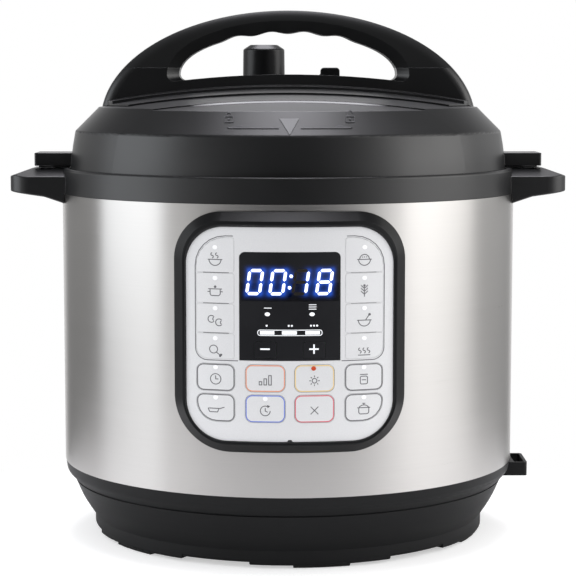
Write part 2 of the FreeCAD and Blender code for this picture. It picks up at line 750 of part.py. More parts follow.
def side_handle():
    end_x = handle_end_x()
    top_z = RING_TOP_Z - HANDLE_TOP_DROP
    end_z = RING_TOP_Z - HANDLE_END_Z_DROP
    inner_x = RING_IN_R - HANDLE_HALF_W / 2
    root_z = RING_TOP_Z - HANDLE_ROOT_DROP
    eaves_z = end_z + HANDLE_END_H
    side = along_y([
        (inner_x, root_z), (BODY_R - HANDLE_ROOT_INSET, root_z),
        (BODY_R + HANDLE_BEND_REACH, RING_TOP_Z - HANDLE_BEND_DROP), (end_x, end_z),
        (end_x, eaves_z), (end_x - HANDLE_TOP_RUN, top_z), (inner_x, top_z)], -HANDLE_HALF_W, HANDLE_HALF_W)
    plan = upright(rectangle(
        inner_x, end_x, -HANDLE_HALF_W, HANDLE_HALF_W, (0, HANDLE_CORNER, HANDLE_CORNER, 0)),
        root_z - OVER, RING_TOP_Z)
    half, ridge = HANDLE_HALF_W, HANDLE_RIDGE_HALF_W
    roof = turned(along_y([
        (-half, root_z - OVER), (half, root_z - OVER), (half, eaves_z), (ridge, top_z), (-ridge, top_z),
        (-half, eaves_z)], -end_x - OVER, OVER - inner_x), 90)
    block = side.common(plan).common(roof)
    grip = softened(block, HANDLE_EDGE, lambda middle, _: middle.x > inner_x + OVER)
    slot_x0 = BODY_R + SLOT_FROM_STEEL
    slot = upright(rectangle(
        slot_x0, slot_x0 + SLOT_X, -SLOT_Y / 2, SLOT_Y / 2, [SLOT_CORNER] * 4), FLANGE_Z - RING_H, RING_TOP_Z)
    steel_room = rod(BODY_R + FIT, 0, 0, 0, WRAP_TOP_Z)
    ring_room = rod(RING_IN_R + RING_WALL / 2, 0, 0, 0, RING_TOP_Z + OVER)
    return grip.cut([slot, steel_room, ring_room])


def upper_housing():
    inner_r = LINER_OUT_R + FIT
    drop_z = TROUGH_Z - TROUGH_FLOOR
    body = spun([
        (SPIGOT_R - SPIGOT_T, WRAP_TOP_Z - SPIGOT_H), (SPIGOT_R, WRAP_TOP_Z - SPIGOT_H),
        (SPIGOT_R, WRAP_TOP_Z), (RING_R, WRAP_TOP_Z), (RING_R - RING_DRAFT, RING_TOP_Z, RING_EDGE),
        (RING_IN_R, RING_TOP_Z, RING_EDGE / 2), (RING_IN_R, TROUGH_Z), (inner_r + TROUGH_WALL, TROUGH_Z),
        (inner_r + TROUGH_WALL, FLANGE_Z), (inner_r, FLANGE_Z), (inner_r, drop_z),
        (SPIGOT_R - SPIGOT_T, drop_z)])
    handle = side_handle()
    channel_half = SPOUT_HALF_W - SPOUT_WALL
    channel_z = SPOUT_Z + SPOUT_WALL
    channel = box(-channel_half, channel_half, RING_IN_R - RING_WALL - OVER, BODY_R + SPOUT_L + OVER,
                  channel_z, SPOUT_Z + SPOUT_H - SPOUT_WALL / 2)
    reed_x = handle_end_x() - REED_FROM_END
    reed_room = rod(REED_R + FIT, reed_x, 0, reed_z() - HANDLE_ROOT_DROP, reed_z() + REED_L + FIT)
    whole = joined([body, handle, turned(handle, 180), spout_box()])
    return whole.cut([channel, reed_room])


def reed_z():
    return RING_TOP_Z - HANDLE_END_Z_DROP


def reed_switch():
    return rod(REED_R, handle_end_x() - REED_FROM_END, 0, reed_z(), reed_z() + REED_L)


# Heating

def heating_plate():
    return spun([
        (PLATE_HOLE_R, PLATE_Z), (PLATE_R, PLATE_Z, PLATE_EDGE), (PLATE_R, PLATE_TOP_Z, PLATE_EDGE),
        (PLATE_HOLE_R, PLATE_TOP_Z, PLATE_EDGE)])


def heating_element():
    r0 = ELEMENT_R - ELEMENT_W / 2
    r1 = ELEMENT_R + ELEMENT_W / 2
    z0 = PLATE_Z - ELEMENT_H
    coil = spun([(r0, z0, ELEMENT_EDGE), (r1, z0, ELEMENT_EDGE), (r1, PLATE_Z), (r0, PLATE_Z)])
    terminal = rod(TERMINAL_R, ELEMENT_R, 0, z0 - TERMINAL_L, z0 + ELEMENT_H / 2)
    return joined([coil, turned(terminal, 90 - TERMINAL_TURN), turned(terminal, 90 + TERMINAL_TURN)])


def sensor_cap():
    cap_z = PLATE_TOP_Z - SENSOR_CAP_T
    cap_r = PLATE_HOLE_R - RUN
    cap = spun([(0, cap_z), (cap_r, cap_z), (cap_r, PLATE_TOP_Z, PLATE_EDGE), (0, PLATE_TOP_Z)])
    return joined([cap, rod(SENSOR_STEM_R, 0, 0, cap_z - SENSOR_STEM_L, cap_z + SENSOR_CAP_T / 2)])


def biarc(start, start_way, end, end_way):
    """Two tangent arcs from start to end that leave and arrive along the given directions."""
    gap = end - start
    ways = start_way + end_way
    a = 2 * (start_way.dot(end_way) - 1)
    b = -2 * gap.dot(ways)
    reach = (-b - math.sqrt(b * b - 4 * a * gap.dot(gap))) / (2 * a)
    if reach < 0:
        reach = (-b + math.sqrt(b * b - 4 * a * gap.dot(gap))) / (2 * a)
    first = start + start_way * reach
    last = end - end_way * reach
    meeting = (first + last) * 0.5
    arcs = []
    for tail, apex, head in ((start, first, meeting), (meeting, last, end)):
        chord_middle = (tail + head) * 0.5
        height = apex.distanceToPoint(chord_middle)
        half_chord = tail.distanceToPoint(head) / 2
        drop = reach * (reach - half_chord) / height
        on_arc = apex + (chord_middle - apex) * (drop / height)
        arcs.append(Part.Arc(tail, on_arc, head).toShape())
    return arcs


def sensor_spring():
    """Coil spring between the sensor's tower and its cap."""
    coil_r = TOWER_R - SPRING_WIRE / 2
    rise = SPRING_H - SPRING_WIRE
    quarters = SPRING_TURNS * 4
    slope = rise / (SPRING_TURNS * 2 * math.pi * coil_r)

    def at(quarter):
        angle = quarter * math.pi / 2
        place = V(coil_r * math.cos(angle), coil_r * math.sin(angle),
                  TOWER_TOP_Z + SPRING_WIRE / 2 + RUN / 2 + rise * quarter / quarters)
        return place, V(-math.sin(angle), math.cos(angle), slope).normalize()

    edges = []
    for quarter in range(quarters):
        edges += biarc(*at(quarter), *at(quarter + 1))
    place, way = at(0)
    section = Part.Wire(Part.Circle(place, way, SPRING_WIRE / 2).toShape())
    print("sensor spring: least gap between turns", round(rise / SPRING_TURNS - SPRING_WIRE, 2))
    return Part.Wire(edges).makePipeShell([section], True, False)


def pressure_switch():
    body = box(SWITCH_X - SWITCH_W / 2, SWITCH_X + SWITCH_W / 2, SWITCH_Y - SWITCH_D / 2,
               SWITCH_Y + SWITCH_D / 2, FLOOR_Z, FLOOR_Z + SWITCH_H)
    return joined([body, rod(SWITCH_PIN_R, SWITCH_X, SWITCH_Y, FLOOR_Z + SWITCH_H / 2, PLATE_Z - FIT)])


def thermal_fuse():
    fuse_y = FUSE_INSET - PLATE_R
    return Part.makeCylinder(FUSE_R, FUSE_L, V(-FUSE_L / 2, fuse_y, PLATE_Z - FUSE_R), V(1, 0, 0))


# Front panel

def on_radius(edge, radius):
    """True if the edge's ends lie on the upright cylinder of that radius."""
    return all(abs(math.hypot(v.X, v.Y) - radius) < TOUCH for v in edge.Vertexes)


def bezel():
    low, top = BEZEL_LOW_CORNER, BEZEL_TOP_CORNER
    outline = rectangle(-BEZEL_HALF_W, BEZEL_HALF_W, PANEL_MID_Z - BEZEL_DOWN, PANEL_MID_Z + BEZEL_UP,
                        (low, low, top, top))
    opening = along_y(panel_outline(), -BEZEL_R - OVER, 0)
    frame = front_patch(outline, PANEL_BACK_R, BEZEL_R).cut(opening)
    front = [edge for edge in frame.Edges if on_radius(edge, BEZEL_R)]
    frame = frame.makeChamfer(BEZEL_SLOPE, [edge for edge in front if edge.distToShape(opening)[0] > TOUCH])
    front = [edge for edge in frame.Edges if on_radius(edge, BEZEL_R)]
    frame = frame.makeFillet(BEZEL_IN_EDGE, [edge for edge in front if edge.distToShape(opening)[0] < TOUCH])
    ledge = front_patch(panel_outline(-FIT), PANEL_BACK_R, FASCIA_BACK_R - FIT)
    ledge = ledge.cut(along_y(panel_outline(LEDGE_W), -BEZEL_R - OVER, 0))
    return joined([frame, ledge])


def key_outlines():
    """Name of each key, with its (x, z, rounding) corners as seen from the front."""
    outlines = {}
    plain = KEY_CORNER
    for side, sign in (("left", -1), ("right", 1)):
        for i in range(len(SIDE_KEY_BOUNDS) - 1):
            z1 = PANEL_MID_Z + SIDE_KEY_BOUNDS[i] - SIDE_KEY_WEB / 2
            z0 = PANEL_MID_Z + SIDE_KEY_BOUNDS[i + 1] + SIDE_KEY_WEB / 2
            outer_top = min(SIDE_KEY_TOP_CORNER, z1 - z0 - 2 * plain) if i == 0 else plain
            outer_low = SIDE_KEY_LOW_CORNER if i == len(SIDE_KEY_BOUNDS) - 2 else plain
            corners = rectangle(SIDE_KEY_X0, SIDE_KEY_X1, z0, z1, (plain, outer_low, outer_top, plain))
            outlines[f"key_{side}_{i + 1}"] = mirrored(corners) if sign < 0 else corners
    for row, (low, high) in enumerate(LOW_KEY_ROWS):
        z0 = PANEL_MID_Z + low
        z1 = PANEL_MID_Z + high
        for column, (x0, x1) in enumerate(LOW_KEY_COLUMNS):
            low_left = low_right = LOW_KEY_CORNER
            if row == 1 and column == 0:
                low_left = LOW_KEY_END_CORNER
            if row == 1 and column == len(LOW_KEY_COLUMNS) - 1:
                low_right = LOW_KEY_END_CORNER
            name = f"key_row_{row + 1}_{column + 1}"
            outlines[name] = rectangle(x0, x1, z0, z1, (low_left, low_right, LOW_KEY_CORNER, LOW_KEY_CORNER))
    sign_z = PANEL_MID_Z - SIGN_KEY_DOWN
    for name, x in (("key_minus", -SIGN_KEY_X), ("key_plus", SIGN_KEY_X)):
        outlines[name] = rectangle(x - SIGN_KEY_HALF_W, x + SIGN_KEY_HALF_W, sign_z - SIGN_KEY_HALF_H,
                                   sign_z + SIGN_KEY_HALF_H, [plain] * 4)
    return outlines


def mirrored(corners):
    return [(-x, z, radius) for x, z, radius in reversed(corners)]


def grown(corners, by):
    """Outline of a key made larger on every side."""
    middle_x = sum(x for x, _, _ in corners) / len(corners)
    middle_z = sum(z for _, z, _ in corners) / len(corners)
    return [(x + math.copysign(by, x - middle_x), z + math.copysign(by, z - middle_z), radius + by)
            for x, z, radius in corners]


def key_middle(corners):
    xs = [x for x, _, _ in corners]
    zs = [z for _, z, _ in corners]
    return (min(xs) + max(xs)) / 2, (min(zs) + max(zs)) / 2


def key(corners):
    x, z = key_middle(corners)
    cap = front_patch(corners, KEY_BACK_R, KEY_R)
    cap = cap.makeFillet(KEY_EDGE, [edge for edge in cap.Edges if on_radius(edge, KEY_R)])
    stem_y = -math.sqrt(KEY_BACK_R ** 2 - max(abs(x) - KEY_STEM_R, 0) ** 2) - KEY_T / 4
    return joined([cap, rod_y(KEY_STEM_R, x, z, stem_y, TACT_Y - KEY_TRAVEL - RUN)])


def key_rooms():
    return [along_y(grown(corners, KEY_CLEAR), -BEZEL_R - OVER, BOARD_FRONT_Y)
            for corners in key_outlines().values()]


def window_outline(grow=0.0):
    half = WINDOW_HALF_W + grow
    corner = WINDOW_CORNER + grow
    z0 = PANEL_MID_Z - WINDOW_DOWN - grow
    z1 = PANEL_MID_Z + WINDOW_UP + grow
    return rectangle(-half, half, z0, z1, (0, 0, corner, corner))


def fascia():
    plate = front_patch(panel_outline(FIT), FASCIA_BACK_R, FASCIA_R)
    bosses = []
    bores = []
    for z in BOSS_ROWS:
        for x in (-BOSS_X, BOSS_X):
            back_y = -math.sqrt(FASCIA_BACK_R ** 2 - (BOSS_X - BOSS_R) ** 2) - FASCIA_T / 4
            bosses.append(rod_y(BOSS_R, x, z, back_y, BOARD_FRONT_Y))
            bore_y = BOARD_FRONT_Y - BOARD_SCREW_L
            bores.append(rod_y(BOARD_SCREW_R + SCREW_ROOM, x, z, bore_y, BOARD_FRONT_Y + OVER))
    window_room = along_y(window_outline(FIT), -BEZEL_R - OVER, BOARD_FRONT_Y)
    return joined([plate] + bosses).cut([window_room] + key_rooms() + bores)


def display_window():
    return front_patch(window_outline(), FASCIA_BACK_R, FASCIA_R).cut(key_rooms())


def control_board():
    board = box(-BOARD_HALF_W, BOARD_HALF_W, BOARD_FRONT_Y, BOARD_BACK_Y,
                FASCIA_LOW_Z + BOARD_MARGIN, FASCIA_TOP_Z - BOARD_MARGIN)
    half = TACT_HALF
    switches = []
    for corners in key_outlines().values():
        x, z = key_middle(corners)
        switches.append(box(x - half, x + half, TACT_Y, BOARD_FRONT_Y, z - half, z + half))
    holes = [rod_y(BOARD_SCREW_R + SCREW_ROOM, x, z, BOARD_FRONT_Y - OVER, BOARD_BACK_Y + OVER)
             for z in BOSS_ROWS for x in (-BOSS_X, BOSS_X)]
    return joined([board] + switches).cut(holes)


def board_screws():
    screws = []
    for z in BOSS_ROWS:
        for x in (-BOSS_X, BOSS_X):
            head = rod_y(BOARD_SCREW_HEAD_R, x, z, BOARD_BACK_Y, BOARD_BACK_Y + BOARD_SCREW_HEAD_H)
            shank_y = BOARD_FRONT_Y - BOARD_SCREW_L + BOARD_SCREW_R
            screws.append(joined([head, rod_y(BOARD_SCREW_R, x, z, shank_y, BOARD_BACK_Y)]))
    return Part.Compound(screws)


def led_module():
    front_y = -math.sqrt(FASCIA_BACK_R ** 2 - LED_HALF_W ** 2) + LED_FRONT_GAP
    z0, z1 = (PANEL_MID_Z + up for up in LED_UP)
    return box(-LED_HALF_W, LED_HALF_W, front_y, BOARD_FRONT_Y, z0, z1)


# Power electronics

def on_power_board(middle_x, middle_y, size_x, size_y, size_z):
    z0 = FLOOR_Z + POWER_STAND
    return box(middle_x - size_x / 2, middle_x + size_x / 2, middle_y - size_y / 2, middle_y + size_y / 2,
               z0, z0 + BOARD_T + size_z)


def power_board():
    z0 = FLOOR_Z + POWER_STAND
    board = box(-POWER_HALF_X, POWER_HALF_X, POWER_Y0, POWER_Y1, z0, z0 + BOARD_T)
    capacitor = rod(CAPACITOR_R, CAPACITOR_X, CAPACITOR_Y, z0, z0 + BOARD_T + CAPACITOR_H)
    return joined([board, on_power_board(*RELAY), on_power_board(*TRANSFORMER), capacitor])


def ribbon_cable():
    """Flat cable from the power board, under the liner and up behind the control board."""
    x0 = BOSS_X + BOARD_SCREW_HEAD_R + RIBBON_FROM_SCREW
    x1 = x0 + RIBBON_W
    z0 = FLOOR_Z + POWER_STAND + BOARD_T
    run_z = z0 + RIBBON_RISE
    rise_y = -(LINER_OUT_R - BOARD_BACK_Y) / 2
    low_z = FASCIA_LOW_Z + BOARD_MARGIN
    rear_plug = box(x0, x1, POWER_Y0, POWER_Y0 + RIBBON_PLUG, z0, run_z + RIBBON_T)
    run = box(x0, x1, rise_y, POWER_Y0 + OVER, run_z, run_z + RIBBON_T)
    climb = box(x0, x1, rise_y, rise_y + RIBBON_T, run_z, low_z + RIBBON_PLUG)
    front_plug = box(x0, x1, BOARD_BACK_Y, rise_y + RIBBON_T, low_z + OVER, low_z + RIBBON_PLUG)
    return joined([rear_plug, run, climb, front_plug])


def inlet_box(half_x, half_z, y0, y1):
    return box(-half_x, half_x, y0, y1, INLET_Z - half_z, INLET_Z + half_z)


def pin_blades(grow=0.0):
    blades = []
    for x, dz in ((-PIN_X, -PIN_DROP), (0, PIN_EARTH_RISE), (PIN_X, -PIN_DROP)):
        half_x = PIN_W / 2 + grow
        half_z = PIN_H / 2 + grow
        z = INLET_Z + dz
        y0 = INLET_WALL_Y - INLET_BACK - PIN_TAIL
        blades.append(box(x - half_x, x + half_x, y0, INLET_WALL_Y + PIN_L, z - half_z, z + half_z))
    return blades


def power_inlet():
    body = inlet_box(INLET_HALF_X, INLET_HALF_Z, INLET_WALL_Y - INLET_BACK, INLET_MOUTH_Y)
    flange_x = INLET_HALF_X + INLET_FLANGE
    flange_z = INLET_HALF_Z + INLET_FLANGE
    flange = inlet_box(flange_x, flange_z, INLET_PAD_Y, INLET_MOUTH_Y)
    cavity_x = INLET_HALF_X - INLET_WALL
    cavity_z = INLET_HALF_Z - INLET_WALL
    cavity = inlet_box(cavity_x, cavity_z, INLET_WALL_Y, INLET_MOUTH_Y + OVER)
    return joined([body, flange]).cut([cavity] + pin_blades(FIT / 3))


def inlet_pins():
    return Part.Compound(pin_blades())


# Drip cup

def collector_bracket():
    half = ARM_X + ARM_W
    z1 = ARM_TOP_Z
    outline = rectangle(-half, half, z1 - HANGER_H, z1, [HANGER_CORNER] * 2 + [0, 0])
    plate = turned(front_patch(outline, BODY_R + FIT, HANGER_R), 180)
    arms = []
    for sign in (-1, 1):
        x0, x1 = sorted((sign * ARM_X, sign * half))
        root_y = math.sqrt((BODY_R + FIT) ** 2 - ARM_X ** 2)
        arm = box(x0, x1, root_y - ARM_W, HANGER_R + ARM_L, z1 - ARM_H, z1)
        arms.append(arm.cut(rod(BODY_R + FIT, 0, 0, z1 - ARM_H - OVER, z1 + OVER)))
    return joined([plate] + arms)


def condensation_collector():
    y0, y1 = CUP_FRONT_Y, CUP_FRONT_Y + CUP_D
    z0 = CUP_TOP_Z - CUP_H
    small = CUP_WALL / 2
    outside = upright(rectangle(
        -CUP_HALF_W, CUP_HALF_W, y0, y1, (small, small, CUP_CORNER, CUP_CORNER)), z0, CUP_TOP_Z)
    outside = softened(outside, CUP_WALL, lambda middle, _: middle.z < z0 + FIT)
    in_half = CUP_HALF_W - CUP_WALL
    inside = upright(rectangle(
        -in_half, in_half, y0 + CUP_WALL, y1 - CUP_WALL,
        (small, small, CUP_CORNER - CUP_WALL, CUP_CORNER - CUP_WALL)), z0 + CUP_WALL, CUP_TOP_Z + OVER)
    cup = outside.cut(inside)
    ribs = []
    notches = []
    for sign in (-1, 1):
        rib_x = sorted((sign * in_half + sign * small, sign * (in_half - CUP_RIB_W)))
        ribs.append(box(*rib_x, y0 + small, y1 - CUP_CORNER, CUP_TOP_Z - CUP_RIB_T, CUP_TOP_Z))
        arm_x = sorted((sign * (ARM_X - RUN), sign * (ARM_X + ARM_W + RUN)))
        notches.append(box(*arm_x, y0 - OVER, y0 + CUP_WALL + RUN, ARM_TOP_Z - ARM_H - RUN, ARM_TOP_Z + RUN))
    return joined([cup] + ribs).cut(notches)


# Lid

def crown(rise):
    """Ball whose top is the dome of the lid, raised by rise."""
    return Part.makeSphere(CROWN_R, V(0, 0, CROWN_Z - CROWN_R + rise))


def crown_height(x, y):
    return CROWN_Z - CROWN_R + math.sqrt(CROWN_R ** 2 - x * x - y * y)


def lid_screw_places():
    return [(x, y) for x in (-LID_SCREW_X, LID_SCREW_X) for y in (-LID_SCREW_Y, LID_SCREW_Y)]


def cover_block(inset):
    """Solid bounded by the lid's sides, drawn in by inset, with its top left open for the dome."""
    edge_r = COVER_R - inset
    crease_z = RING_TOP_Z + COVER_WALL_H - inset * math.tan(math.radians(COVER_SLOPE_TURN / 2))
    crease_r = edge_r - COVER_WALL_DRAFT
    foot_z = RING_TOP_Z - COVER_SKIRT_DROP - (OVER if inset else 0)
    top = CROWN_H - COVER_WALL_H + COVER_SLOPE
    round_in = max(COVER_CREASE_ROUND - inset, COVER_CREASE_ROUND / 4)
    return spun([
        (0, foot_z), (edge_r, foot_z), (edge_r, RING_TOP_Z),
        (edge_r - COVER_BELLY_INSET, RING_TOP_Z + COVER_BELLY_UP, COVER_BELLY_ROUND),
        (crease_r, crease_z, round_in), (crease_r - top, crease_z + top), (0, crease_z + top)])


def lid_fin():
    x0 = COVER_R - COVER_WALL_DRAFT
    x1 = COVER_R + FIN_REACH
    z0 = RING_TOP_Z + FIN_GAP
    fin = upright(rectangle(
        x0, x1, -FIN_HALF_W, FIN_HALF_W, (0, FIN_CORNER, FIN_CORNER, 0)), z0, z0 + FIN_T)
    return softened(fin, FIN_CORNER / 3, lambda middle, _: middle.x > x0 + OVER)


def lid_cover():
    outside = cover_block(0)
    band = box(-2 * COVER_R, 2 * COVER_R, -CROWN_BAND_HALF_W, CROWN_BAND_HALF_W, 0, 2 * CROWN_Z)
    outside = joined([outside.common(crown(-CROWN_STEP)), outside.common(crown(0)).common(band)])
    inside = cover_block(COVER_T).common(crown(-COVER_T - CROWN_STEP))
    shoulder_z = SEAL_ROOF_Z + LID_T - COVER_SHOULDER_H
    shoulder = ring(LID_WALL_R + FIT, COVER_R - COVER_T / 2, shoulder_z, shoulder_z + COVER_SHOULDER_H)
    fin = lid_fin()
    boss = [rod(LID_BOSS_R, x, y, LID_CENTRE_TOP_Z, crown_height(x, y) - COVER_T / 2)
            for x, y in lid_screw_places()]
    cover = joined([outside, fin, turned(fin, 180)]).cut(inside)
    cover = joined([cover, shoulder] + boss)
    cuts = [rod(SCREW_R + SCREW_ROOM, x, y, 0, 2 * CROWN_Z) for x, y in lid_screw_places()]
    cuts.append(rod(PIPE_OUT_R + PIPE_ROOM, PIPE_X, PIPE_Y, 0, 2 * CROWN_Z))
    cuts.append(rod(FLOAT_HEAD_R + RUN, FLOAT_X, FLOAT_Y, 0, 2 * CROWN_Z))
    magnet_x = COVER_R + FIN_REACH - MAGNET_FROM_END
    cuts.append(rod(MAGNET_R + FIT, magnet_x, 0, 0, RING_TOP_Z + FIN_GAP + MAGNET_L))
    return cover.cut(cuts)


def lid_magnet():
    x = COVER_R + FIN_REACH - MAGNET_FROM_END
    top_z = RING_TOP_Z + FIN_GAP + MAGNET_L - FIT
    return rod(MAGNET_R, x, 0, top_z - MAGNET_L + FIT, top_z)


def lid_plate():
    plate = spun([
        (LID_WALL_IN_R, LID_LUG_Z), (LID_WALL_R, LID_LUG_Z), (LID_WALL_R, SEAL_ROOF_Z + LID_T, LID_ROUND),
        (LID_SLOPE_R, SEAL_ROOF_Z + LID_T, LID_SLOPE_ROUND),
        (LID_CENTRE_R, LID_CENTRE_TOP_Z, LID_SLOPE_ROUND), (0, LID_CENTRE_TOP_Z), (0, LID_CENTRE_Z),
        (LID_CENTRE_R - LID_T / 2, LID_CENTRE_Z, LID_SLOPE_ROUND),
        (LID_SLOPE_R - LID_T / 2, SEAL_ROOF_Z, LID_SLOPE_ROUND),
        (LID_WALL_IN_R, SEAL_ROOF_Z, LID_ROUND - LID_T)])
    lugs = bayonet(LID_LUG_IN_R, LID_WALL_IN_R + LID_T / 2, LID_LUG_Z, LID_LUG_TOP_Z)
    guide_r = FLOAT_STEM_R + RUN + FLOAT_GUIDE_WALL
    guide = rod(guide_r, FLOAT_X, FLOAT_Y, LID_CENTRE_Z, float_head_z() - RUN)
    cuts = [rod(FLOAT_STEM_R + RUN, FLOAT_X, FLOAT_Y, 0, CROWN_Z)]
    cuts.append(rod(PIPE_OUT_R + FIT, PIPE_X, PIPE_Y, 0, CROWN_Z))
    cuts += [rod(SCREW_R + SCREW_ROOM, x, y, 0, CROWN_Z) for x, y in lid_screw_places()]
    return joined([plate, guide] + lugs).cut(cuts)


def sealing_ring():
    """Lip seal, open towards the steam."""
    top_z = SEAL_Z + SEAL_H
    body_r = SEAL_OUT_R - SEAL_BODY
    soft = SEAL_LIP / 3
    return spun([
        (SEAL_IN_R, SEAL_Z, soft), (SEAL_OUT_R, SEAL_Z, soft), (SEAL_OUT_R, top_z, soft),
        (SEAL_IN_R, top_z, soft), (SEAL_IN_R, top_z - SEAL_LIP, soft), (body_r, top_z - SEAL_LIP, soft),
        (body_r, SEAL_Z + SEAL_LIP, soft), (SEAL_IN_R, SEAL_Z + SEAL_LIP, soft)])


def seal_rack():
    return ring(SEAL_IN_R - RUN - RACK_T, SEAL_IN_R - RUN, SEAL_ROOF_Z - RACK_H, SEAL_ROOF_Z)


def lid_screws():
    screws = []
    top_z = CROWN_Z + LID_SCREW_TOP_UP
    for x, y in lid_screw_places():
        head = rod(SCREW_HEAD_R, x, y, LID_CENTRE_Z - LID_SCREW_HEAD_H, LID_CENTRE_Z)
        screws.append(joined([head, rod(SCREW_R, x, y, LID_CENTRE_Z, top_z)]))
    return Part.Compound(screws)


# Carrying handle

def hole_section(y, half_l, height, groove):
    """Outline of the finger hole at one depth: an arch over the bar, wavy where fingers lie."""
    middle_z = CROWN_Z + HOLE_UP

    def bar_z(x):
        return middle_z - BAR_SAG * (x / BAR_SAG_AT) ** 2

    def arch(angle):
        x = half_l * math.cos(angle)
        reach = FINGERS / 2 * GROOVE_PITCH
        wave = groove * math.sin(math.pi * x / GROOVE_PITCH) ** 2 if abs(x) < reach else 0
        return V(x, y, middle_z + height * math.sin(angle) + wave)

    steps = FINGERS * ARCH_POINTS
    arch_curve = Part.BSplineCurve()
    arch_curve.interpolate([arch(math.pi * i / steps) for i in range(steps + 1)])
    low_x = half_l - HOLE_CORNER
    low_z = bar_z(low_x)
    bend_x = half_l - HOLE_CORNER * CORNER_DIP
    bend_z = low_z + (middle_z - low_z) * CORNER_DIP
    left = Part.Arc(V(-half_l, y, middle_z), V(-bend_x, y, bend_z), V(-low_x, y, low_z))
    bar = Part.Arc(V(-low_x, y, low_z), V(0, y, bar_z(0)), V(low_x, y, low_z))
    right = Part.Arc(V(low_x, y, low_z), V(bend_x, y, bend_z), V(half_l, y, middle_z))
    return Part.Wire([curve.toShape() for curve in (arch_curve, left, bar, right)])


def handle_loop():
    middle_z = CROWN_Z - LOOP_DROP
    ellipse = Part.Ellipse(V(LOOP_HALF_L, 0, middle_z), V(0, 0, middle_z + LOOP_H), V(0, 0, middle_z))
    arch = Part.ArcOfEllipse(ellipse, 0, math.pi).toShape()
    arch.translate(V(0, -LOOP_HALF_W, 0))
    chord = Part.makeLine(V(-LOOP_HALF_L, -LOOP_HALF_W, middle_z), V(LOOP_HALF_L, -LOOP_HALF_W, middle_z))
    block = Part.Face(Part.Wire([arch, chord])).extrude(V(0, 2 * LOOP_HALF_W, 0))
    block = softened(block, LOOP_EDGE, lambda middle, bounds: bounds.ZLength > LOOP_H / 2)
    flare_y = LOOP_HALF_W + TOUCH
    wide = (HOLE_HALF_L + HOLE_FLARE_L, HOLE_H + HOLE_FLARE_H, 0)
    waist = (HOLE_HALF_L, HOLE_H, FINGER_GROOVE)
    sections = [hole_section(-flare_y, *wide), hole_section(-HOLE_WAIST_HALF_W, *waist),
                hole_section(HOLE_WAIST_HALF_W, *waist), hole_section(flare_y, *wide)]
    hole = Part.makeLoft(sections, True, True)
    return block.cut(hole)


def above_seam(shape):
    seam_z = CROWN_Z + LOOP_SEAM_UP
    size = 2 * LOOP_HALF_L
    return shape.common(box(-size, size, -size, size, seam_z, seam_z + size))


def handle_grip():
    return above_seam(handle_loop())


def handle_base():
    loop = handle_loop()
    posts = loop.cut(above_seam(loop))
    steps = []
    for front, back, height in STEPS:
        slab = upright(rectangle(
            -STEP_R, STEP_R, -front, back, [STEP_CORNER] * 4), CROWN_Z - LOOP_DROP, CROWN_Z + height)
        slab = slab.common(rod(STEP_R, 0, 0, 0, 2 * CROWN_Z))
        steps.append(slab.common(crown(height)))
    body = joined([posts] + steps).cut(crown(FIT))
    bore_z = CROWN_Z + LID_SCREW_TOP_UP + OVER
    return body.cut([rod(SCREW_R + SCREW_ROOM, x, y, 0, bore_z) for x, y in lid_screw_places()])


# Valves

def steam_pipe():
    top_z = CROWN_Z + PIPE_TOP_UP
    pipe = rod(PIPE_OUT_R, 0, 0, LID_CENTRE_Z - PIPE_BELOW_PLATE, top_z)
    flange = rod(PIPE_FLANGE_R, 0, 0, LID_CENTRE_TOP_Z, LID_CENTRE_TOP_Z + PIPE_FLANGE_T)
    whole = joined([pipe, flange]).cut(rod(PIPE_BORE_R, 0, 0, 0, 2 * top_z))
    return moved(whole, PIPE_X, PIPE_Y, 0)


def vent_nut():
    angles = [2 * math.pi * i / NUT_SIDES for i in range(NUT_SIDES)]
    corners = [(NUT_R * math.cos(a), NUT_R * math.sin(a)) for a in angles]
    nut = upright(corners, LID_CENTRE_Z - NUT_H, LID_CENTRE_Z)
    return moved(nut.cut(rod(PIPE_OUT_R + TURN_FIT, 0, 0, 0, CROWN_Z)), PIPE_X, PIPE_Y, 0)


def anti_block_shield():
    top_z = LID_CENTRE_Z - NUT_H + SHIELD_ON_NUT
    z0 = top_z - SHIELD_H
    in_r = SHIELD_R - SHIELD_T
    lip_r = NUT_R + FIT
    cage = spun([
        (0, z0), (SHIELD_R, z0, SHIELD_T), (SHIELD_R, top_z), (lip_r, top_z), (lip_r, top_z - SHIELD_T),
        (in_r, top_z - SHIELD_T), (in_r, z0 + SHIELD_T), (0, z0 + SHIELD_T)])
    slot_z = z0 + (SHIELD_H - SHIELD_SLOT_H) / 2
    half = SHIELD_SLOT_W / 2
    slot = box(in_r - OVER, SHIELD_R + OVER, -half, half, slot_z, slot_z + SHIELD_SLOT_H)
    return moved(cage.cut(around(slot, SHIELD_SLOTS)), PIPE_X, PIPE_Y, 0)


def pin_z():
    return CROWN_Z + PIPE_TOP_UP + PIN_LIFT


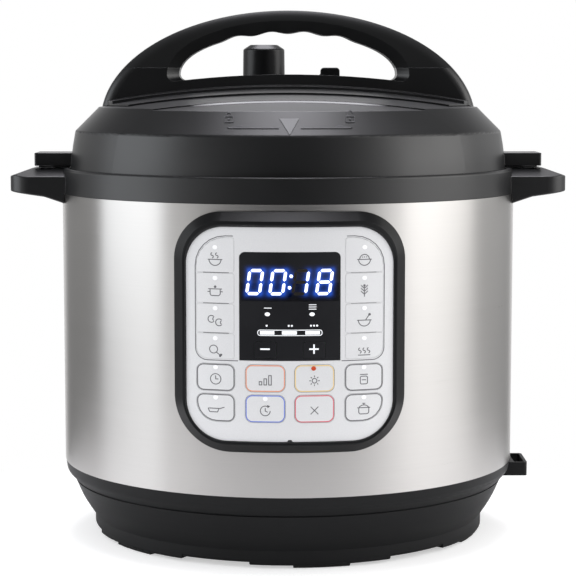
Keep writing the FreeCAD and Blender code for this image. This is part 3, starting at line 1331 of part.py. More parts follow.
def steam_release_handle():
    z0 = crown_height(PIPE_X, PIPE_Y) + KNOB_LIFT
    z1 = z0 + KNOB_H
    knob = spun([(0, z0), (KNOB_R, z0, KNOB_EDGE), (KNOB_TOP_R, z1 - KNOB_CHAMFER_H, KNOB_EDGE),
                 (KNOB_FLAT_R, z1, KNOB_EDGE / 2), (0, z1)])
    lever_z = z0 + LEVER_LIFT
    lever_top_z = lever_z + LEVER_T
    tab_x0 = LEVER_L - TAB_L
    tab_z = lever_top_z + TAB_RISE
    tab_round = min(2 * LEVER_EDGE, TAB_RISE / 2)
    lever = along_y([
        (0, lever_z), (LEVER_L, lever_z, LEVER_EDGE), (LEVER_L, tab_z, tab_round), (tab_x0, tab_z, tab_round),
        (tab_x0, lever_top_z, tab_round / 2), (0, lever_top_z)], -LEVER_HALF_W, LEVER_HALF_W)
    lever = softened(lever, LEVER_EDGE / 2, lambda middle, bounds: middle.x > KNOB_R and abs(middle.y) > FIT)
    bores = [rod(PIPE_OUT_R + TURN_FIT, 0, 0, 0, pin_z())]
    bores.append(rod(PIN_R + FIT / 2, 0, 0, 0, pin_z() + PIN_LENGTH))
    return moved(joined([knob, lever]).cut(bores), PIPE_X, PIPE_Y, 0)


def vent_pin():
    z0 = pin_z()
    pin = spun([(0, z0), (PIPE_BORE_R, z0), (PIN_R, z0 + PIN_R - PIPE_BORE_R), (PIN_R, z0 + PIN_LENGTH - FIT),
                (0, z0 + PIN_LENGTH - FIT)])
    return moved(pin, PIPE_X, PIPE_Y, 0)


def float_head_z():
    return crown_height(FLOAT_X, FLOAT_Y) - FLOAT_SINK - FLOAT_HEAD_H


def float_seal_z():
    return LID_CENTRE_Z - FLOAT_TRAVEL - FLOAT_SEAL_LIFT_LEFT - FLOAT_SEAL_H


def float_valve():
    head_z = float_head_z()
    top_z = head_z + FLOAT_HEAD_H
    foot_z = float_seal_z()
    valve = spun([
        (0, foot_z), (FLOAT_STEM_R, foot_z), (FLOAT_STEM_R, head_z), (FLOAT_HEAD_R, head_z),
        (FLOAT_HEAD_R, top_z, FLOAT_HEAD_ROUND), (0, top_z)])
    return moved(valve, FLOAT_X, FLOAT_Y, 0)


def float_seal():
    z0 = float_seal_z()
    return moved(ring(FLOAT_STEM_R + FIT / 3, FLOAT_SEAL_R, z0, z0 + FLOAT_SEAL_H), FLOAT_X, FLOAT_Y, 0)


PIECES = (
    base_housing, foot_pads, base_screws, steel_wrap, upper_housing, cooker_liner, heating_plate,
    heating_element, sensor_cap, sensor_spring, pressure_switch, thermal_fuse, bezel, fascia, display_window,
    led_module, control_board, board_screws, power_board, ribbon_cable, power_inlet, inlet_pins, reed_switch,
    collector_bracket, condensation_collector, inner_pot, lid_cover, lid_magnet, lid_plate, sealing_ring,
    seal_rack, lid_screws, handle_base, handle_grip, steam_pipe, vent_nut, anti_block_shield,
    steam_release_handle, vent_pin, float_valve, float_seal)


def write(name, shape):
    moved(shape, 0, AXIS_Y, 0).exportStep(f"parts/{name}.step")


os.makedirs("parts", exist_ok=True)
for piece in PIECES:
    write(piece.__name__, piece())
for key_name, key_corners in key_outlines().items():
    write(key_name, key(key_corners))
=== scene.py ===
"""Looks of a countertop pressure cooker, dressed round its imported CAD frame.

Metres, +Z up, front towards -Y. The CAD pieces keep their shapes and get their finishes here. Signs,
lamps, digits and marks are thin pieces, drawn flat in millimetres and laid on the surface that carries them.
"""
import json
import math

import bmesh
import bpy
from mathutils import Matrix, Vector
from mathutils.bvhtree import BVHTree

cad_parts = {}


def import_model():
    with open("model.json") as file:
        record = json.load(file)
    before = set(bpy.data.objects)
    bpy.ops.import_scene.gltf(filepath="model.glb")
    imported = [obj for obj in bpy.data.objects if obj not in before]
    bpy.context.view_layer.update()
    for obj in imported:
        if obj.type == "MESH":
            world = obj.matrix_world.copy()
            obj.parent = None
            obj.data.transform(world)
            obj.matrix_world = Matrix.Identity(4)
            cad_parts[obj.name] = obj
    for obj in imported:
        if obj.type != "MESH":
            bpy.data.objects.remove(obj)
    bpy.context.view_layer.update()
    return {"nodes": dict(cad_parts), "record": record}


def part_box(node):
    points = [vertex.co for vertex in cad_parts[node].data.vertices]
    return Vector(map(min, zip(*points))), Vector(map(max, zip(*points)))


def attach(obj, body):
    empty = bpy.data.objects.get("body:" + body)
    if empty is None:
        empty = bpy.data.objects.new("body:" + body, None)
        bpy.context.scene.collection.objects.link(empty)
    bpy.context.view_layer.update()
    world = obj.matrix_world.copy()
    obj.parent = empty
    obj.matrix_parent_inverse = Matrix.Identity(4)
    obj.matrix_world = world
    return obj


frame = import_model()

MM = 0.001
steel_low, steel_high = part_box("steel_wrap")
AXIS = Vector(((steel_low.x + steel_high.x) / 2, (steel_low.y + steel_high.y) / 2, 0))


# Shader nodes

def join(tree, socket, value):
    """Gives a socket a value, or the output of another node."""
    if isinstance(value, bpy.types.NodeSocket):
        tree.links.new(value, socket)
    else:
        socket.default_value = value


def add(tree, kind, inputs=None, **settings):
    """A shader node with its settings and its inputs, by name or number."""
    made = tree.nodes.new("ShaderNode" + kind)
    for name, value in settings.items():
        setattr(made, name, value)
    for name, value in (inputs or {}).items():
        join(tree, made.inputs[name], value)
    return made


def math_node(tree, operation, *values, clamp=False):
    node = add(tree, "Math", dict(enumerate(values)), operation=operation, use_clamp=clamp)
    return node.outputs[0]


def spread(tree, value, low, high, start=0.0, end=1.0):
    """Stretches a value from start..end to low..high."""
    node = add(tree, "MapRange", {
        "Value": value, "From Min": start, "From Max": end, "To Min": low, "To Max": high})
    return node.outputs["Result"]


def blend(tree, share, first, second):
    """Colour between two colours."""
    node = add(tree, "Mix", {0: share, 6: first, 7: second}, data_type="RGBA")
    return node.outputs[2]


def object_coordinates(tree):
    return add(tree, "TexCoord").outputs["Object"]


def noise(tree, vector, scale, detail=2.0, rough=0.5):
    node = add(tree, "TexNoise", {"Vector": vector, "Scale": scale, "Detail": detail, "Roughness": rough})
    return node.outputs["Fac"]


# Shared effects

SOCKETS = {float: "NodeSocketFloat", tuple: "NodeSocketVector"}


def new_effect(name, inputs, outputs):
    """Empty node group with named inputs and their defaults, and named outputs with their types."""
    group = bpy.data.node_groups.new(name, "ShaderNodeTree")
    for label, value in inputs.items():
        socket = group.interface.new_socket(label, in_out="INPUT", socket_type=SOCKETS[type(value)])
        socket.default_value = value
    for label, kind in outputs.items():
        group.interface.new_socket(label, in_out="OUTPUT", socket_type=SOCKETS[kind])
    entry = group.nodes.new("NodeGroupInput").outputs
    way_out = group.nodes.new("NodeGroupOutput").inputs
    return group, entry, way_out


def moulded_grain_effect():
    """Fine spark-eroded grain of a mould, and slow patches over the whole piece."""
    group, entry, way_out = new_effect(
        "moulded_grain", {"Size": 0.0006, "Patch": 0.06}, {"Height": float, "Patches": float})
    place = object_coordinates(group)
    fine = noise(group, place, math_node(group, "DIVIDE", 1.0, entry["Size"]), detail=3.0, rough=0.6)
    slow = noise(group, place, math_node(group, "DIVIDE", 1.0, entry["Patch"]), detail=2.0)
    join(group, way_out["Height"], fine)
    join(group, way_out["Patches"], spread(group, slow, 0.0, 1.0, 0.3, 0.7))
    return group


def edge_wear_and_highlight_effect():
    """Rounded normals and a mask along the edges of a piece, broken up as handling does; finishes pale edges
    by it, as wear and as a painted highlight.
    """
    group, entry, way_out = new_effect("edge_wear_and_highlight", {"Radius": 0.0005}, {"Edge": float, "Normal": tuple})
    rounded = add(group, "Bevel", {"Radius": entry["Radius"]}, samples=6).outputs["Normal"]
    face = add(group, "NewGeometry").outputs["Normal"]
    together = add(group, "VectorMath", {0: rounded, 1: face}, operation="DOT_PRODUCT").outputs["Value"]
    turned_away = spread(group, math_node(group, "SUBTRACT", 1.0, together), 0.0, 1.0, 0.01, 0.16)
    patchy = spread(group, noise(group, object_coordinates(group), 140.0, detail=4.0), 0.2, 1.0, 0.35, 0.65)
    join(group, way_out["Edge"], math_node(group, "MULTIPLY", turned_away, patchy, clamp=True))
    join(group, way_out["Normal"], rounded)
    return group


def brushing_effect():
    """Long fine scratches; Stretch is how often they vary along each axis, per metre."""
    group, entry, way_out = new_effect(
        "brushing", {"Stretch": (5.0, 5.0, 1500.0)}, {"Streaks": float, "Bands": float})
    place = object_coordinates(group)
    stretched = add(group, "VectorMath", {0: place, 1: entry["Stretch"]}, operation="MULTIPLY").outputs[0]
    join(group, way_out["Streaks"], noise(group, stretched, 1.0, detail=5.0, rough=0.75))
    join(group, way_out["Bands"], noise(group, stretched, 0.12, detail=2.0))
    return group


def lathe_marks_effect():
    """Rings that a lathe or a spinning pad leaves round the cooker's axis."""
    group, entry, way_out = new_effect(
        "lathe_marks", {"Middle": tuple(AXIS), "Per metre": 900.0}, {"Rings": float, "Patches": float})
    place = add(group, "VectorMath", {0: object_coordinates(group), 1: entry["Middle"]}, operation="SUBTRACT")
    parts = add(group, "SeparateXYZ", {0: place.outputs[0]}).outputs
    flat = add(group, "CombineXYZ", {"X": parts["X"], "Y": parts["Y"]}).outputs[0]
    radius = add(group, "VectorMath", {0: flat}, operation="LENGTH").outputs["Value"]
    turned = add(group, "CombineXYZ", {"X": radius, "Y": parts["Z"]}).outputs[0]
    join(group, way_out["Rings"], noise(group, turned, entry["Per metre"], detail=4.0, rough=0.7))
    join(group, way_out["Patches"], noise(group, place.outputs[0], 14.0, detail=3.0))
    return group


MOULDED_GRAIN = moulded_grain_effect()
EDGE_WEAR_AND_HIGHLIGHT = edge_wear_and_highlight_effect()
BRUSHING = brushing_effect()
LATHE_MARKS = lathe_marks_effect()


def use(tree, effect, inputs=None):
    """Outputs of a shared effect, placed in a material."""
    return add(tree, "Group", inputs, node_tree=effect).outputs


# Finishes

def new_finish(name, sockets):
    """Material with a Principled shader, given its plain values."""
    material = bpy.data.materials.new(name)
    material.use_nodes = True
    tree = material.node_tree
    shader = tree.nodes["Principled BSDF"]
    for label, value in sockets.items():
        shader.inputs[label].default_value = value
    return material, tree, shader.inputs


def shade(colour, by):
    """Colour made paler or darker by a factor, with its alpha."""
    return (*(min(1.0, part * by) for part in colour[:3]), 1.0)


def mottled(tree, share, colour, dark, pale):
    """Colour that varies between a darker and a paler shade of itself."""
    return blend(tree, share, shade(colour, dark), shade(colour, pale))


def bumped(tree, height, strength, distance, normal=None):
    inputs = {"Height": height, "Strength": strength, "Distance": distance}
    if normal is not None:
        inputs["Normal"] = normal
    return add(tree, "Bump", inputs).outputs["Normal"]


def moulded_plastic(name, colour, roughness, grain=0.6 * MM, depth=0.25, edge=0.5 * MM, rub_and_highlight=1.8,
                    specular=0.5):
    """Injection-moulded plastic: eroded grain, patchy sheen, edges smoother and a little paler, partly as
    wear and partly as a painted highlight.
    """
    material, tree, shader = new_finish(name, {"Specular IOR Level": specular})
    texture = use(tree, MOULDED_GRAIN, {"Size": grain})
    edge_wear_and_highlight = use(tree, EDGE_WEAR_AND_HIGHLIGHT, {"Radius": edge})
    body = mottled(tree, texture["Patches"], colour, 0.88, 1.12)
    # Paler edges: partly rubbed wear, partly a painted highlight along them.
    join(tree, shader["Base Color"], blend(tree, edge_wear_and_highlight["Edge"], body, shade(colour, rub_and_highlight)))
    sheen = spread(tree, texture["Patches"], roughness - 0.03, roughness + 0.03)
    join(tree, shader["Roughness"], math_node(tree, "SUBTRACT", sheen, spread(tree, edge_wear_and_highlight["Edge"], 0.0, 0.08)))
    join(tree, shader["Normal"], bumped(tree, texture["Height"], depth, 0.05 * MM, edge_wear_and_highlight["Normal"]))
    return material


def brushed_steel(name, colour, roughness, stretch, anisotropy, depth=0.03):
    """Sheet steel with long scratches round the wall, which draw reflections out upright."""
    material, tree, shader = new_finish(name, {
        "Metallic": 1.0, "Anisotropic": anisotropy, "Anisotropic Rotation": 0.25})
    marks = use(tree, BRUSHING, {"Stretch": stretch})
    tone = mottled(tree, marks["Streaks"], colour, 0.94, 1.05)
    banded = spread(tree, marks["Bands"], 0.0, 0.5, 0.3, 0.7)
    join(tree, shader["Base Color"], blend(tree, banded, tone, colour))
    sheen = spread(tree, marks["Streaks"], roughness - 0.03, roughness + 0.05, 0.25, 0.75)
    join(tree, shader["Roughness"], sheen)
    join(tree, shader["Normal"], bumped(tree, marks["Streaks"], depth, 0.02 * MM))
    join(tree, shader["Tangent"], add(tree, "Tangent", direction_type="RADIAL", axis="Z").outputs[0])
    return material


def turned_metal(name, colour, roughness, per_metre=900.0, depth=0.1, edge=0.3 * MM):
    """Spun or turned metal, with rings round the cooker's axis and soft edges."""
    material, tree, shader = new_finish(name, {"Metallic": 1.0})
    marks = use(tree, LATHE_MARKS, {"Per metre": per_metre})
    edge_wear_and_highlight = use(tree, EDGE_WEAR_AND_HIGHLIGHT, {"Radius": edge})
    tone = mottled(tree, marks["Rings"], colour, 0.88, 1.08)
    join(tree, shader["Base Color"], blend(tree, edge_wear_and_highlight["Edge"], tone, shade(colour, 1.25)))
    spin = spread(tree, marks["Rings"], -0.05, 0.05, 0.3, 0.7)
    stain = spread(tree, marks["Patches"], roughness - 0.04, roughness + 0.06, 0.3, 0.7)
    join(tree, shader["Roughness"], math_node(tree, "ADD", spin, stain))
    join(tree, shader["Normal"], bumped(tree, marks["Rings"], depth, 0.02 * MM, edge_wear_and_highlight["Normal"]))
    return material


def cast_metal(name, colour, roughness, grain=0.9 * MM, depth=0.3):
    """Cast or plated metal with a fine sandy skin."""
    material, tree, shader = new_finish(name, {"Metallic": 1.0})
    texture = use(tree, MOULDED_GRAIN, {"Size": grain, "Patch": 0.02})
    edge_wear_and_highlight = use(tree, EDGE_WEAR_AND_HIGHLIGHT, {"Radius": 0.3 * MM})
    tone = mottled(tree, texture["Patches"], colour, 0.85, 1.05)
    join(tree, shader["Base Color"], blend(tree, edge_wear_and_highlight["Edge"], tone, shade(colour, 1.3)))
    join(tree, shader["Roughness"], spread(tree, texture["Patches"], roughness - 0.06, roughness + 0.08))
    join(tree, shader["Normal"], bumped(tree, texture["Height"], depth, 0.03 * MM, edge_wear_and_highlight["Normal"]))
    return material


def silver_film(name, colour, roughness=0.36):
    """Pale silver film with a very fine flake, smooth to the touch."""
    material, tree, shader = new_finish(name, {"Metallic": 0.15})
    texture = use(tree, MOULDED_GRAIN, {"Size": 0.35 * MM, "Patch": 0.05})
    flake = spread(tree, texture["Height"], 0.0, 1.0, 0.35, 0.65)
    join(tree, shader["Base Color"], mottled(tree, flake, colour, 0.96, 1.03))
    join(tree, shader["Roughness"], spread(tree, texture["Patches"], roughness - 0.04, roughness + 0.05))
    edge_wear_and_highlight = use(tree, EDGE_WEAR_AND_HIGHLIGHT, {"Radius": 0.25 * MM})
    join(tree, shader["Normal"], bumped(tree, texture["Height"], 0.05, 0.02 * MM, edge_wear_and_highlight["Normal"]))
    return material


def smoked_window(name, colour, roughness=0.14):
    """Dark smoked plastic, glossy, with the faintest haze from wiping."""
    material, tree, shader = new_finish(name, {"Specular IOR Level": 0.4})
    texture = use(tree, MOULDED_GRAIN, {"Size": 1.4 * MM, "Patch": 0.03})
    join(tree, shader["Base Color"], mottled(tree, texture["Patches"], colour, 0.9, 1.15))
    join(tree, shader["Roughness"], spread(tree, texture["Patches"], roughness, roughness + 0.08))
    edge_wear_and_highlight = use(tree, EDGE_WEAR_AND_HIGHLIGHT, {"Radius": 0.2 * MM})
    join(tree, shader["Normal"], bumped(tree, texture["Height"], 0.02, 0.02 * MM, edge_wear_and_highlight["Normal"]))
    return material


def soft_rubber(name, colour, roughness, subsurface=0.0):
    """Rubber or silicone: matt, a little cloudy, with dust in its grain."""
    material, tree, shader = new_finish(name, {
        "Specular IOR Level": 0.35, "Subsurface Weight": subsurface, "Subsurface Scale": 2 * MM})
    texture = use(tree, MOULDED_GRAIN, {"Size": 1.2 * MM, "Patch": 0.025})
    cloud = mottled(tree, texture["Patches"], colour, 0.9, 1.08)
    dust = spread(tree, texture["Height"], 0.0, 0.25)
    join(tree, shader["Base Color"], blend(tree, dust, cloud, shade(colour, 1.3)))
    join(tree, shader["Roughness"], spread(tree, texture["Patches"], roughness - 0.05, roughness + 0.08))
    join(tree, shader["Normal"], bumped(tree, texture["Height"], 0.25, 0.04 * MM))
    return material


def clear_cup(name, colour):
    """Clear moulded plastic, faintly hazed."""
    material, tree, shader = new_finish(name, {"Transmission Weight": 0.9, "IOR": 1.49})
    texture = use(tree, MOULDED_GRAIN, {"Size": 2.5 * MM, "Patch": 0.02})
    join(tree, shader["Base Color"], mottled(tree, texture["Patches"], colour, 0.96, 1.02))
    join(tree, shader["Roughness"], spread(tree, texture["Patches"], 0.08, 0.2))
    join(tree, shader["Normal"], bumped(tree, texture["Height"], 0.03, 0.03 * MM))
    return material


def circuit_board(name, resist, trace):
    """Green solder resist over copper tracks, which show as paler runs."""
    material, tree, shader = new_finish(name, {"Specular IOR Level": 0.5})
    place = object_coordinates(tree)
    cells = add(tree, "TexBrick", {
        "Vector": place, "Color1": (0, 0, 0, 1), "Color2": (0, 0, 0, 1), "Mortar": (1, 1, 1, 1),
        "Scale": 160.0, "Mortar Size": 0.06, "Brick Width": 0.9, "Row Height": 0.35})
    runs = noise(tree, place, 90.0, detail=0.0)
    tracks = math_node(tree, "MULTIPLY", cells.outputs["Fac"], math_node(tree, "GREATER_THAN", runs, 0.48))
    join(tree, shader["Base Color"], blend(tree, tracks, resist, trace))
    join(tree, shader["Roughness"], spread(tree, tracks, 0.3, 0.42))
    join(tree, shader["Normal"], bumped(tree, tracks, 0.2, 0.03 * MM))
    return material


def ink(name, colour, roughness=0.45):
    """Screen-printed ink, a touch uneven where the mesh of the screen let it through."""
    material, tree, shader = new_finish(name, {"Specular IOR Level": 0.35})
    texture = use(tree, MOULDED_GRAIN, {"Size": 0.3 * MM, "Patch": 0.008})
    join(tree, shader["Base Color"], mottled(tree, texture["Patches"], colour, 0.9, 1.08))
    join(tree, shader["Roughness"], spread(tree, texture["Height"], roughness - 0.05, roughness + 0.08))
    join(tree, shader["Normal"], bumped(tree, texture["Height"], 0.1, 0.01 * MM))
    return material


def lamp_light_and_painted_glow(name, colour, strength):
    """Small diffusing lens that glows, brightest in patches of its frosted skin; over a lit lamp the glow is
    its light, elsewhere it is a painted glow.
    """
    material, tree, shader = new_finish(name, {"Roughness": 0.3, "Emission Strength": strength})
    texture = use(tree, MOULDED_GRAIN, {"Size": 0.5 * MM, "Patch": 0.002})
    body = mottled(tree, texture["Patches"], colour, 0.94, 1.06)
    join(tree, shader["Base Color"], body)
    join(tree, shader["Emission Color"], body)
    join(tree, shader["Normal"], bumped(tree, texture["Height"], 0.05, 0.02 * MM))
    return material


def lit_digit(name, core, rim, strength):
    """Lit segment: white in the middle and tinted towards its rim, by the piece's own glow attribute."""
    material, tree, shader = new_finish(name, {"Roughness": 0.4, "Emission Strength": strength})
    glow = add(tree, "Attribute", attribute_name="glow").outputs["Fac"]
    tone = blend(tree, spread(tree, glow, 0.0, 1.0, 0.1, 0.7), rim, core)
    join(tree, shader["Base Color"], tone)
    join(tree, shader["Emission Color"], tone)
    return material


def lit_window(name, colour, light):
    """Smoked window with light spread in it, as strong as the piece's own glow attribute."""
    material, tree, shader = new_finish(name, {"Specular IOR Level": 0.4, "Emission Strength": 1.0})
    texture = use(tree, MOULDED_GRAIN, {"Size": 1.4 * MM, "Patch": 0.03})
    glow = add(tree, "Attribute", attribute_name="glow").outputs["Fac"]
    join(tree, shader["Base Color"], mottled(tree, texture["Patches"], colour, 0.9, 1.15))
    join(tree, shader["Roughness"], spread(tree, texture["Patches"], 0.14, 0.22))
    join(tree, shader["Emission Color"], blend(tree, glow, shade(light, 0.0), light))
    material.cycles.emission_sampling = "NONE"
    return material


LID_BLACK = (0.0062, 0.0064, 0.0072, 1.0)
BASE_BLACK = (0.0058, 0.006, 0.0066, 1.0)
HANDLE_BLACK = (0.0155, 0.0158, 0.0162, 1.0)
WINDOW_BLACK = (0.0145, 0.0148, 0.0168, 1.0)
STEEL = (0.62, 0.605, 0.59, 1.0)
BRIGHT_STEEL = (0.66, 0.65, 0.64, 1.0)
SILVER = (0.8, 0.805, 0.815, 1.0)

SLOT_FINISHES = {
    "black_plastic": moulded_plastic("casing_plastic", LID_BLACK, 0.35, depth=0.15, specular=0.71),
    # Wide, much paler edges on the handle: a painted highlight along the grip's bevels.
    "handle_plastic": moulded_plastic(
        "handle_plastic", HANDLE_BLACK, 0.45, edge=0.9 * MM, rub_and_highlight=2.8, specular=0.1),
    "bezel_plastic": moulded_plastic(
        "bezel_plastic", LID_BLACK, 0.34, grain=0.4 * MM, depth=0.12, specular=0.28),
    "foot_rubber": soft_rubber("foot_rubber", (0.012, 0.012, 0.012, 1.0), 0.75),
    "brushed_steel": brushed_steel("brushed_wall_steel", STEEL, 0.3, (5.0, 5.0, 1500.0), 0.75),
    "pot_steel": turned_metal("pot_steel", BRIGHT_STEEL, 0.24),
    "liner_metal": turned_metal("spun_liner", (0.5, 0.5, 0.5, 1.0), 0.34, per_metre=500.0),
    "valve_steel": turned_metal("valve_steel", BRIGHT_STEEL, 0.2, per_metre=1500.0),
    "screw_steel": cast_metal("plated_steel", (0.5, 0.49, 0.48, 1.0), 0.32),
    "cast_aluminium": cast_metal("cast_aluminium", (0.6, 0.6, 0.61, 1.0), 0.42),
    "silicone": soft_rubber("seal_silicone", (0.74, 0.74, 0.71, 1.0), 0.5, subsurface=0.3),
    "silver_panel": silver_film("panel_film", SILVER),
    "silver_key": silver_film("key_film", SILVER),
    "window_plastic": smoked_window("smoked_window", WINDOW_BLACK),
    "sign_key": smoked_window("sign_key_film", WINDOW_BLACK),
    "circuit_board": circuit_board("green_board", (0.01, 0.075, 0.03, 1.0), (0.03, 0.15, 0.06, 1.0)),
    "component_plastic": moulded_plastic("component_plastic", (0.05, 0.05, 0.055, 1.0), 0.5),
    "cable_plastic": moulded_plastic("cable_plastic", (0.33, 0.33, 0.34, 1.0), 0.5, rub_and_highlight=1.2),
    "contact_brass": cast_metal("contact_brass", (0.75, 0.58, 0.3, 1.0), 0.28),
    "magnet": cast_metal("magnet_nickel", (0.42, 0.42, 0.43, 1.0), 0.25),
    "cup_plastic": clear_cup("clear_cup", (0.93, 0.95, 0.96, 1.0)),
}
NODE_FINISHES = {
    "base_housing": moulded_plastic(
        "base_plastic", BASE_BLACK, 0.5, grain=0.8 * MM, depth=0.4, specular=0.25),
    "steam_release_handle": moulded_plastic(
        "knob_plastic", BASE_BLACK, 0.36, depth=0.2, edge=0.8 * MM, specular=0.4),
}


def dress_frame():
    """Gives every CAD node the finish of its slot, or its own."""
    slot_of = {part["node"]: part["material_slot"] for part in frame["record"]["subparts"]}
    for name, node in frame["nodes"].items():
        finish = NODE_FINISHES.get(name) or SLOT_FINISHES[slot_of[name]]
        node.data.materials.clear()
        node.data.materials.append(finish)


# Flat drawings

LINE_STEP = 1.5          # mm, longest straight piece of a line
ARC_STEP = 15.0          # degrees
FULL_TURN = 360.0
TOWARDS_FRONT = Vector((0, -1, 0))


class Drawing:
    """Flat drawing in mm, x to the right and z up, made of lines of one width, dots and plates."""

    def __init__(self, width=0.45):
        self.mesh = bmesh.new()
        self.width = width

    def sweep(self, inner, outer, centre, degrees, steps, drift=(0, 0, 0)):
        ends = [self.mesh.verts.new(point) for point in (inner, outer)]
        edge = self.mesh.edges.new(ends)
        bmesh.ops.spin(self.mesh, geom=[*ends, edge], cent=centre, axis=TOWARDS_FRONT, dvec=drift,
                       angle=math.radians(degrees), steps=steps, use_merge=degrees == FULL_TURN)

    def line(self, x0, z0, x1, z1):
        start = Vector((x0, 0, z0))
        along = Vector((x1 - x0, 0, z1 - z0))
        across = Vector((-along.z, 0, along.x)).normalized() * self.width / 2
        steps = max(1, math.ceil(along.length / LINE_STEP))
        self.sweep(start - across, start + across, start, 0.0, steps, along / steps)

    def arc(self, x, z, radius, start, degrees=FULL_TURN):
        centre = Vector((x, 0, z))
        way = Vector((math.cos(math.radians(start)), 0, math.sin(math.radians(start))))
        half = self.width / 2
        steps = max(3, math.ceil(abs(degrees) / ARC_STEP))
        self.sweep(centre + way * (radius - half), centre + way * (radius + half), centre, degrees, steps)

    def dot(self, x, z, radius, stretch=1.0):
        upright = Matrix.Rotation(math.pi / 2, 4, "X")
        wide = Matrix.Diagonal((stretch, 1, 1, 1))
        bmesh.ops.create_circle(self.mesh, cap_ends=True, cap_tris=True, segments=20, radius=radius,
                                matrix=Matrix.Translation((x, 0, z)) @ wide @ upright)

    def plate(self, *corners):
        self.mesh.faces.new([self.mesh.verts.new((x, 0, z)) for x, z in corners])

    def outline(self, x0, z0, x1, z1, low_left, low_right, top_right, top_left):
        """Rectangle with its own rounding at each corner."""
        self.line(x0 + low_left, z0, x1 - low_right, z0)
        self.arc(x1 - low_right, z0 + low_right, low_right, 270, 90)
        self.line(x1, z0 + low_right, x1, z1 - top_right)
        self.arc(x1 - top_right, z1 - top_right, top_right, 0, 90)
        self.line(x1 - top_right, z1, x0 + top_left, z1)
        self.arc(x0 + top_left, z1 - top_left, top_left, 90, 90)
        self.line(x0, z1 - top_left, x0, z0 + low_left)
        self.arc(x0 + low_left, z0 + low_left, low_left, 180, 90)


def from_front(x, z):
    """Sight line from the front, through a point given in mm from the cooker's axis."""
    return Vector((AXIS.x + x * MM, -1, z * MM)), Vector((0, 1, 0))


def from_above(x, y):
    """Sight line from above, through a point given in mm from the cooker's axis."""
    return Vector((AXIS.x + x * MM, AXIS.y + y * MM, 1)), Vector((0, 0, -1))


SURFACES = {}


def surface_of(node):
    """Search tree of a CAD node's surface."""
    if node not in SURFACES:
        mesh = frame["nodes"][node].data
        corners = [vertex.co for vertex in mesh.vertices]
        SURFACES[node] = BVHTree.FromPolygons(corners, [face.vertices for face in mesh.polygons])
    return SURFACES[node]


PRINT_HEIGHT = 0.06 * MM
PRINT_SINK = 0.12 * MM   # of a piece's back, under the surface that carries it
WELD = 0.001             # mm, under which corners of a drawing are one


def thickened(drawing):
    """Closed mesh of a drawing, with its back at y 0 and its face at y -1."""
    mesh = drawing.mesh
    bmesh.ops.remove_doubles(mesh, verts=mesh.verts[:], dist=WELD)
    for face in mesh.faces:
        if face.normal.y > 0:
            face.normal_flip()
    raised = bmesh.ops.extrude_face_region(mesh, geom=mesh.faces[:], use_keep_orig=True)["geom"]
    top = [item for item in raised if isinstance(item, bmesh.types.BMVert)]
    bmesh.ops.translate(mesh, verts=top, vec=TOWARDS_FRONT)
    bmesh.ops.recalc_face_normals(mesh, faces=mesh.faces[:])
    return mesh


def laid(name, drawing, finish, node, body, at=(0, 0), sight=from_front, height=PRINT_HEIGHT):
    """Thin piece with the drawing's outline, on the surface of a CAD node, riding on a body."""
    mesh = thickened(drawing)
    surface = surface_of(node)
    for vertex in mesh.verts:
        start, way = sight(vertex.co.x + at[0], vertex.co.z + at[1])
        place, normal, _, _ = surface.ray_cast(start, way)
        if place is None:
            raise ValueError(f"{name} reaches past the edge of {node}")
        outward = normal if normal.dot(way) < 0 else -normal
        vertex.co = place + outward * (height if vertex.co.y < 0 else -PRINT_SINK)
    return placed(name, mesh, finish, body)


def linked(name, data):
    """Object in the scene, made of a mesh, lamp or camera."""
    piece = bpy.data.objects.new(name, data)
    bpy.context.scene.collection.objects.link(piece)
    return piece


def meshed(name, mesh, finish):
    """Object made of a bmesh, which is used up, in one finish."""
    data = bpy.data.meshes.new(name)
    mesh.to_mesh(data)
    mesh.free()
    data.materials.append(finish)
    return linked(name, data)


def placed(name, mesh, finish, body):
    """Object made of a bmesh that is already in its place, riding on a body."""
    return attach(meshed(name, mesh, finish), body)


# Signs of the keys, drawn round their own middles

def wisp(pen, x, z):
    """Curl of steam, rising from a point."""
    pen.arc(x, z + 0.7, 0.7, 270, 180)
    pen.arc(x, z + 2.1, 0.7, 270, -180)


def bowl(pen):
    pen.line(-4.0, 0.2, 4.0, 0.2)
    pen.arc(0, 0.2, 3.3, 180, 180)


def pot_body(pen):
    pen.line(-2.8, 0.6, -2.8, -1.6)
    pen.arc(-1.6, -1.6, 1.2, 180, 90)
    pen.line(-1.6, -2.8, 1.6, -2.8)
    pen.arc(1.6, -1.6, 1.2, 270, 90)
    pen.line(2.8, -1.6, 2.8, 0.6)


def soup_sign(pen):
    bowl(pen)
    for x in (-1.6, 1.0):
        wisp(pen, x, 1.0)


def stew_sign(pen):
    pot_body(pen)
    pen.line(-3.8, 0.9, 3.8, 0.9)
    pen.dot(0, 2.1, 0.7)
    for side in (-1, 1):
        pen.line(side * 2.9, -0.6, side * 4.2, -0.6)


def beans_sign(pen):
    for x, z in ((-2.1, 0.9), (2.1, -0.9)):
        pen.arc(x, z, 1.9, 40, 280)
        pen.arc(x + 1.6, z, 0.9, 110, 140)


def drumstick_sign(pen):
    pen.arc(-1.0, 0.8, 2.2, 0)
    pen.line(0.5, -0.8, 2.6, -2.4)
    pen.dot(2.6, -2.9, 0.6)
    pen.dot(3.2, -2.2, 0.6)


def rice_sign(pen):
    bowl(pen)
    pen.arc(0, 0.2, 2.7, 0, 180)
    for x in (-1.1, 0.0, 1.1):
        pen.dot(x, 1.5, 0.3)


def grain_sign(pen):
    pen.line(0, -3.4, 0, 2.2)
    pen.dot(0, 2.8, 0.6)
    for z in (-1.2, 0.4, 2.0):
        for side in (-1, 1):
            pen.line(side * 0.3, z - 0.6, side * 1.9, z + 0.9)


def porridge_sign(pen):
    bowl(pen)
    pen.line(0.8, 0.4, 2.6, 3.0)
    pen.dot(2.9, 3.3, 0.7)


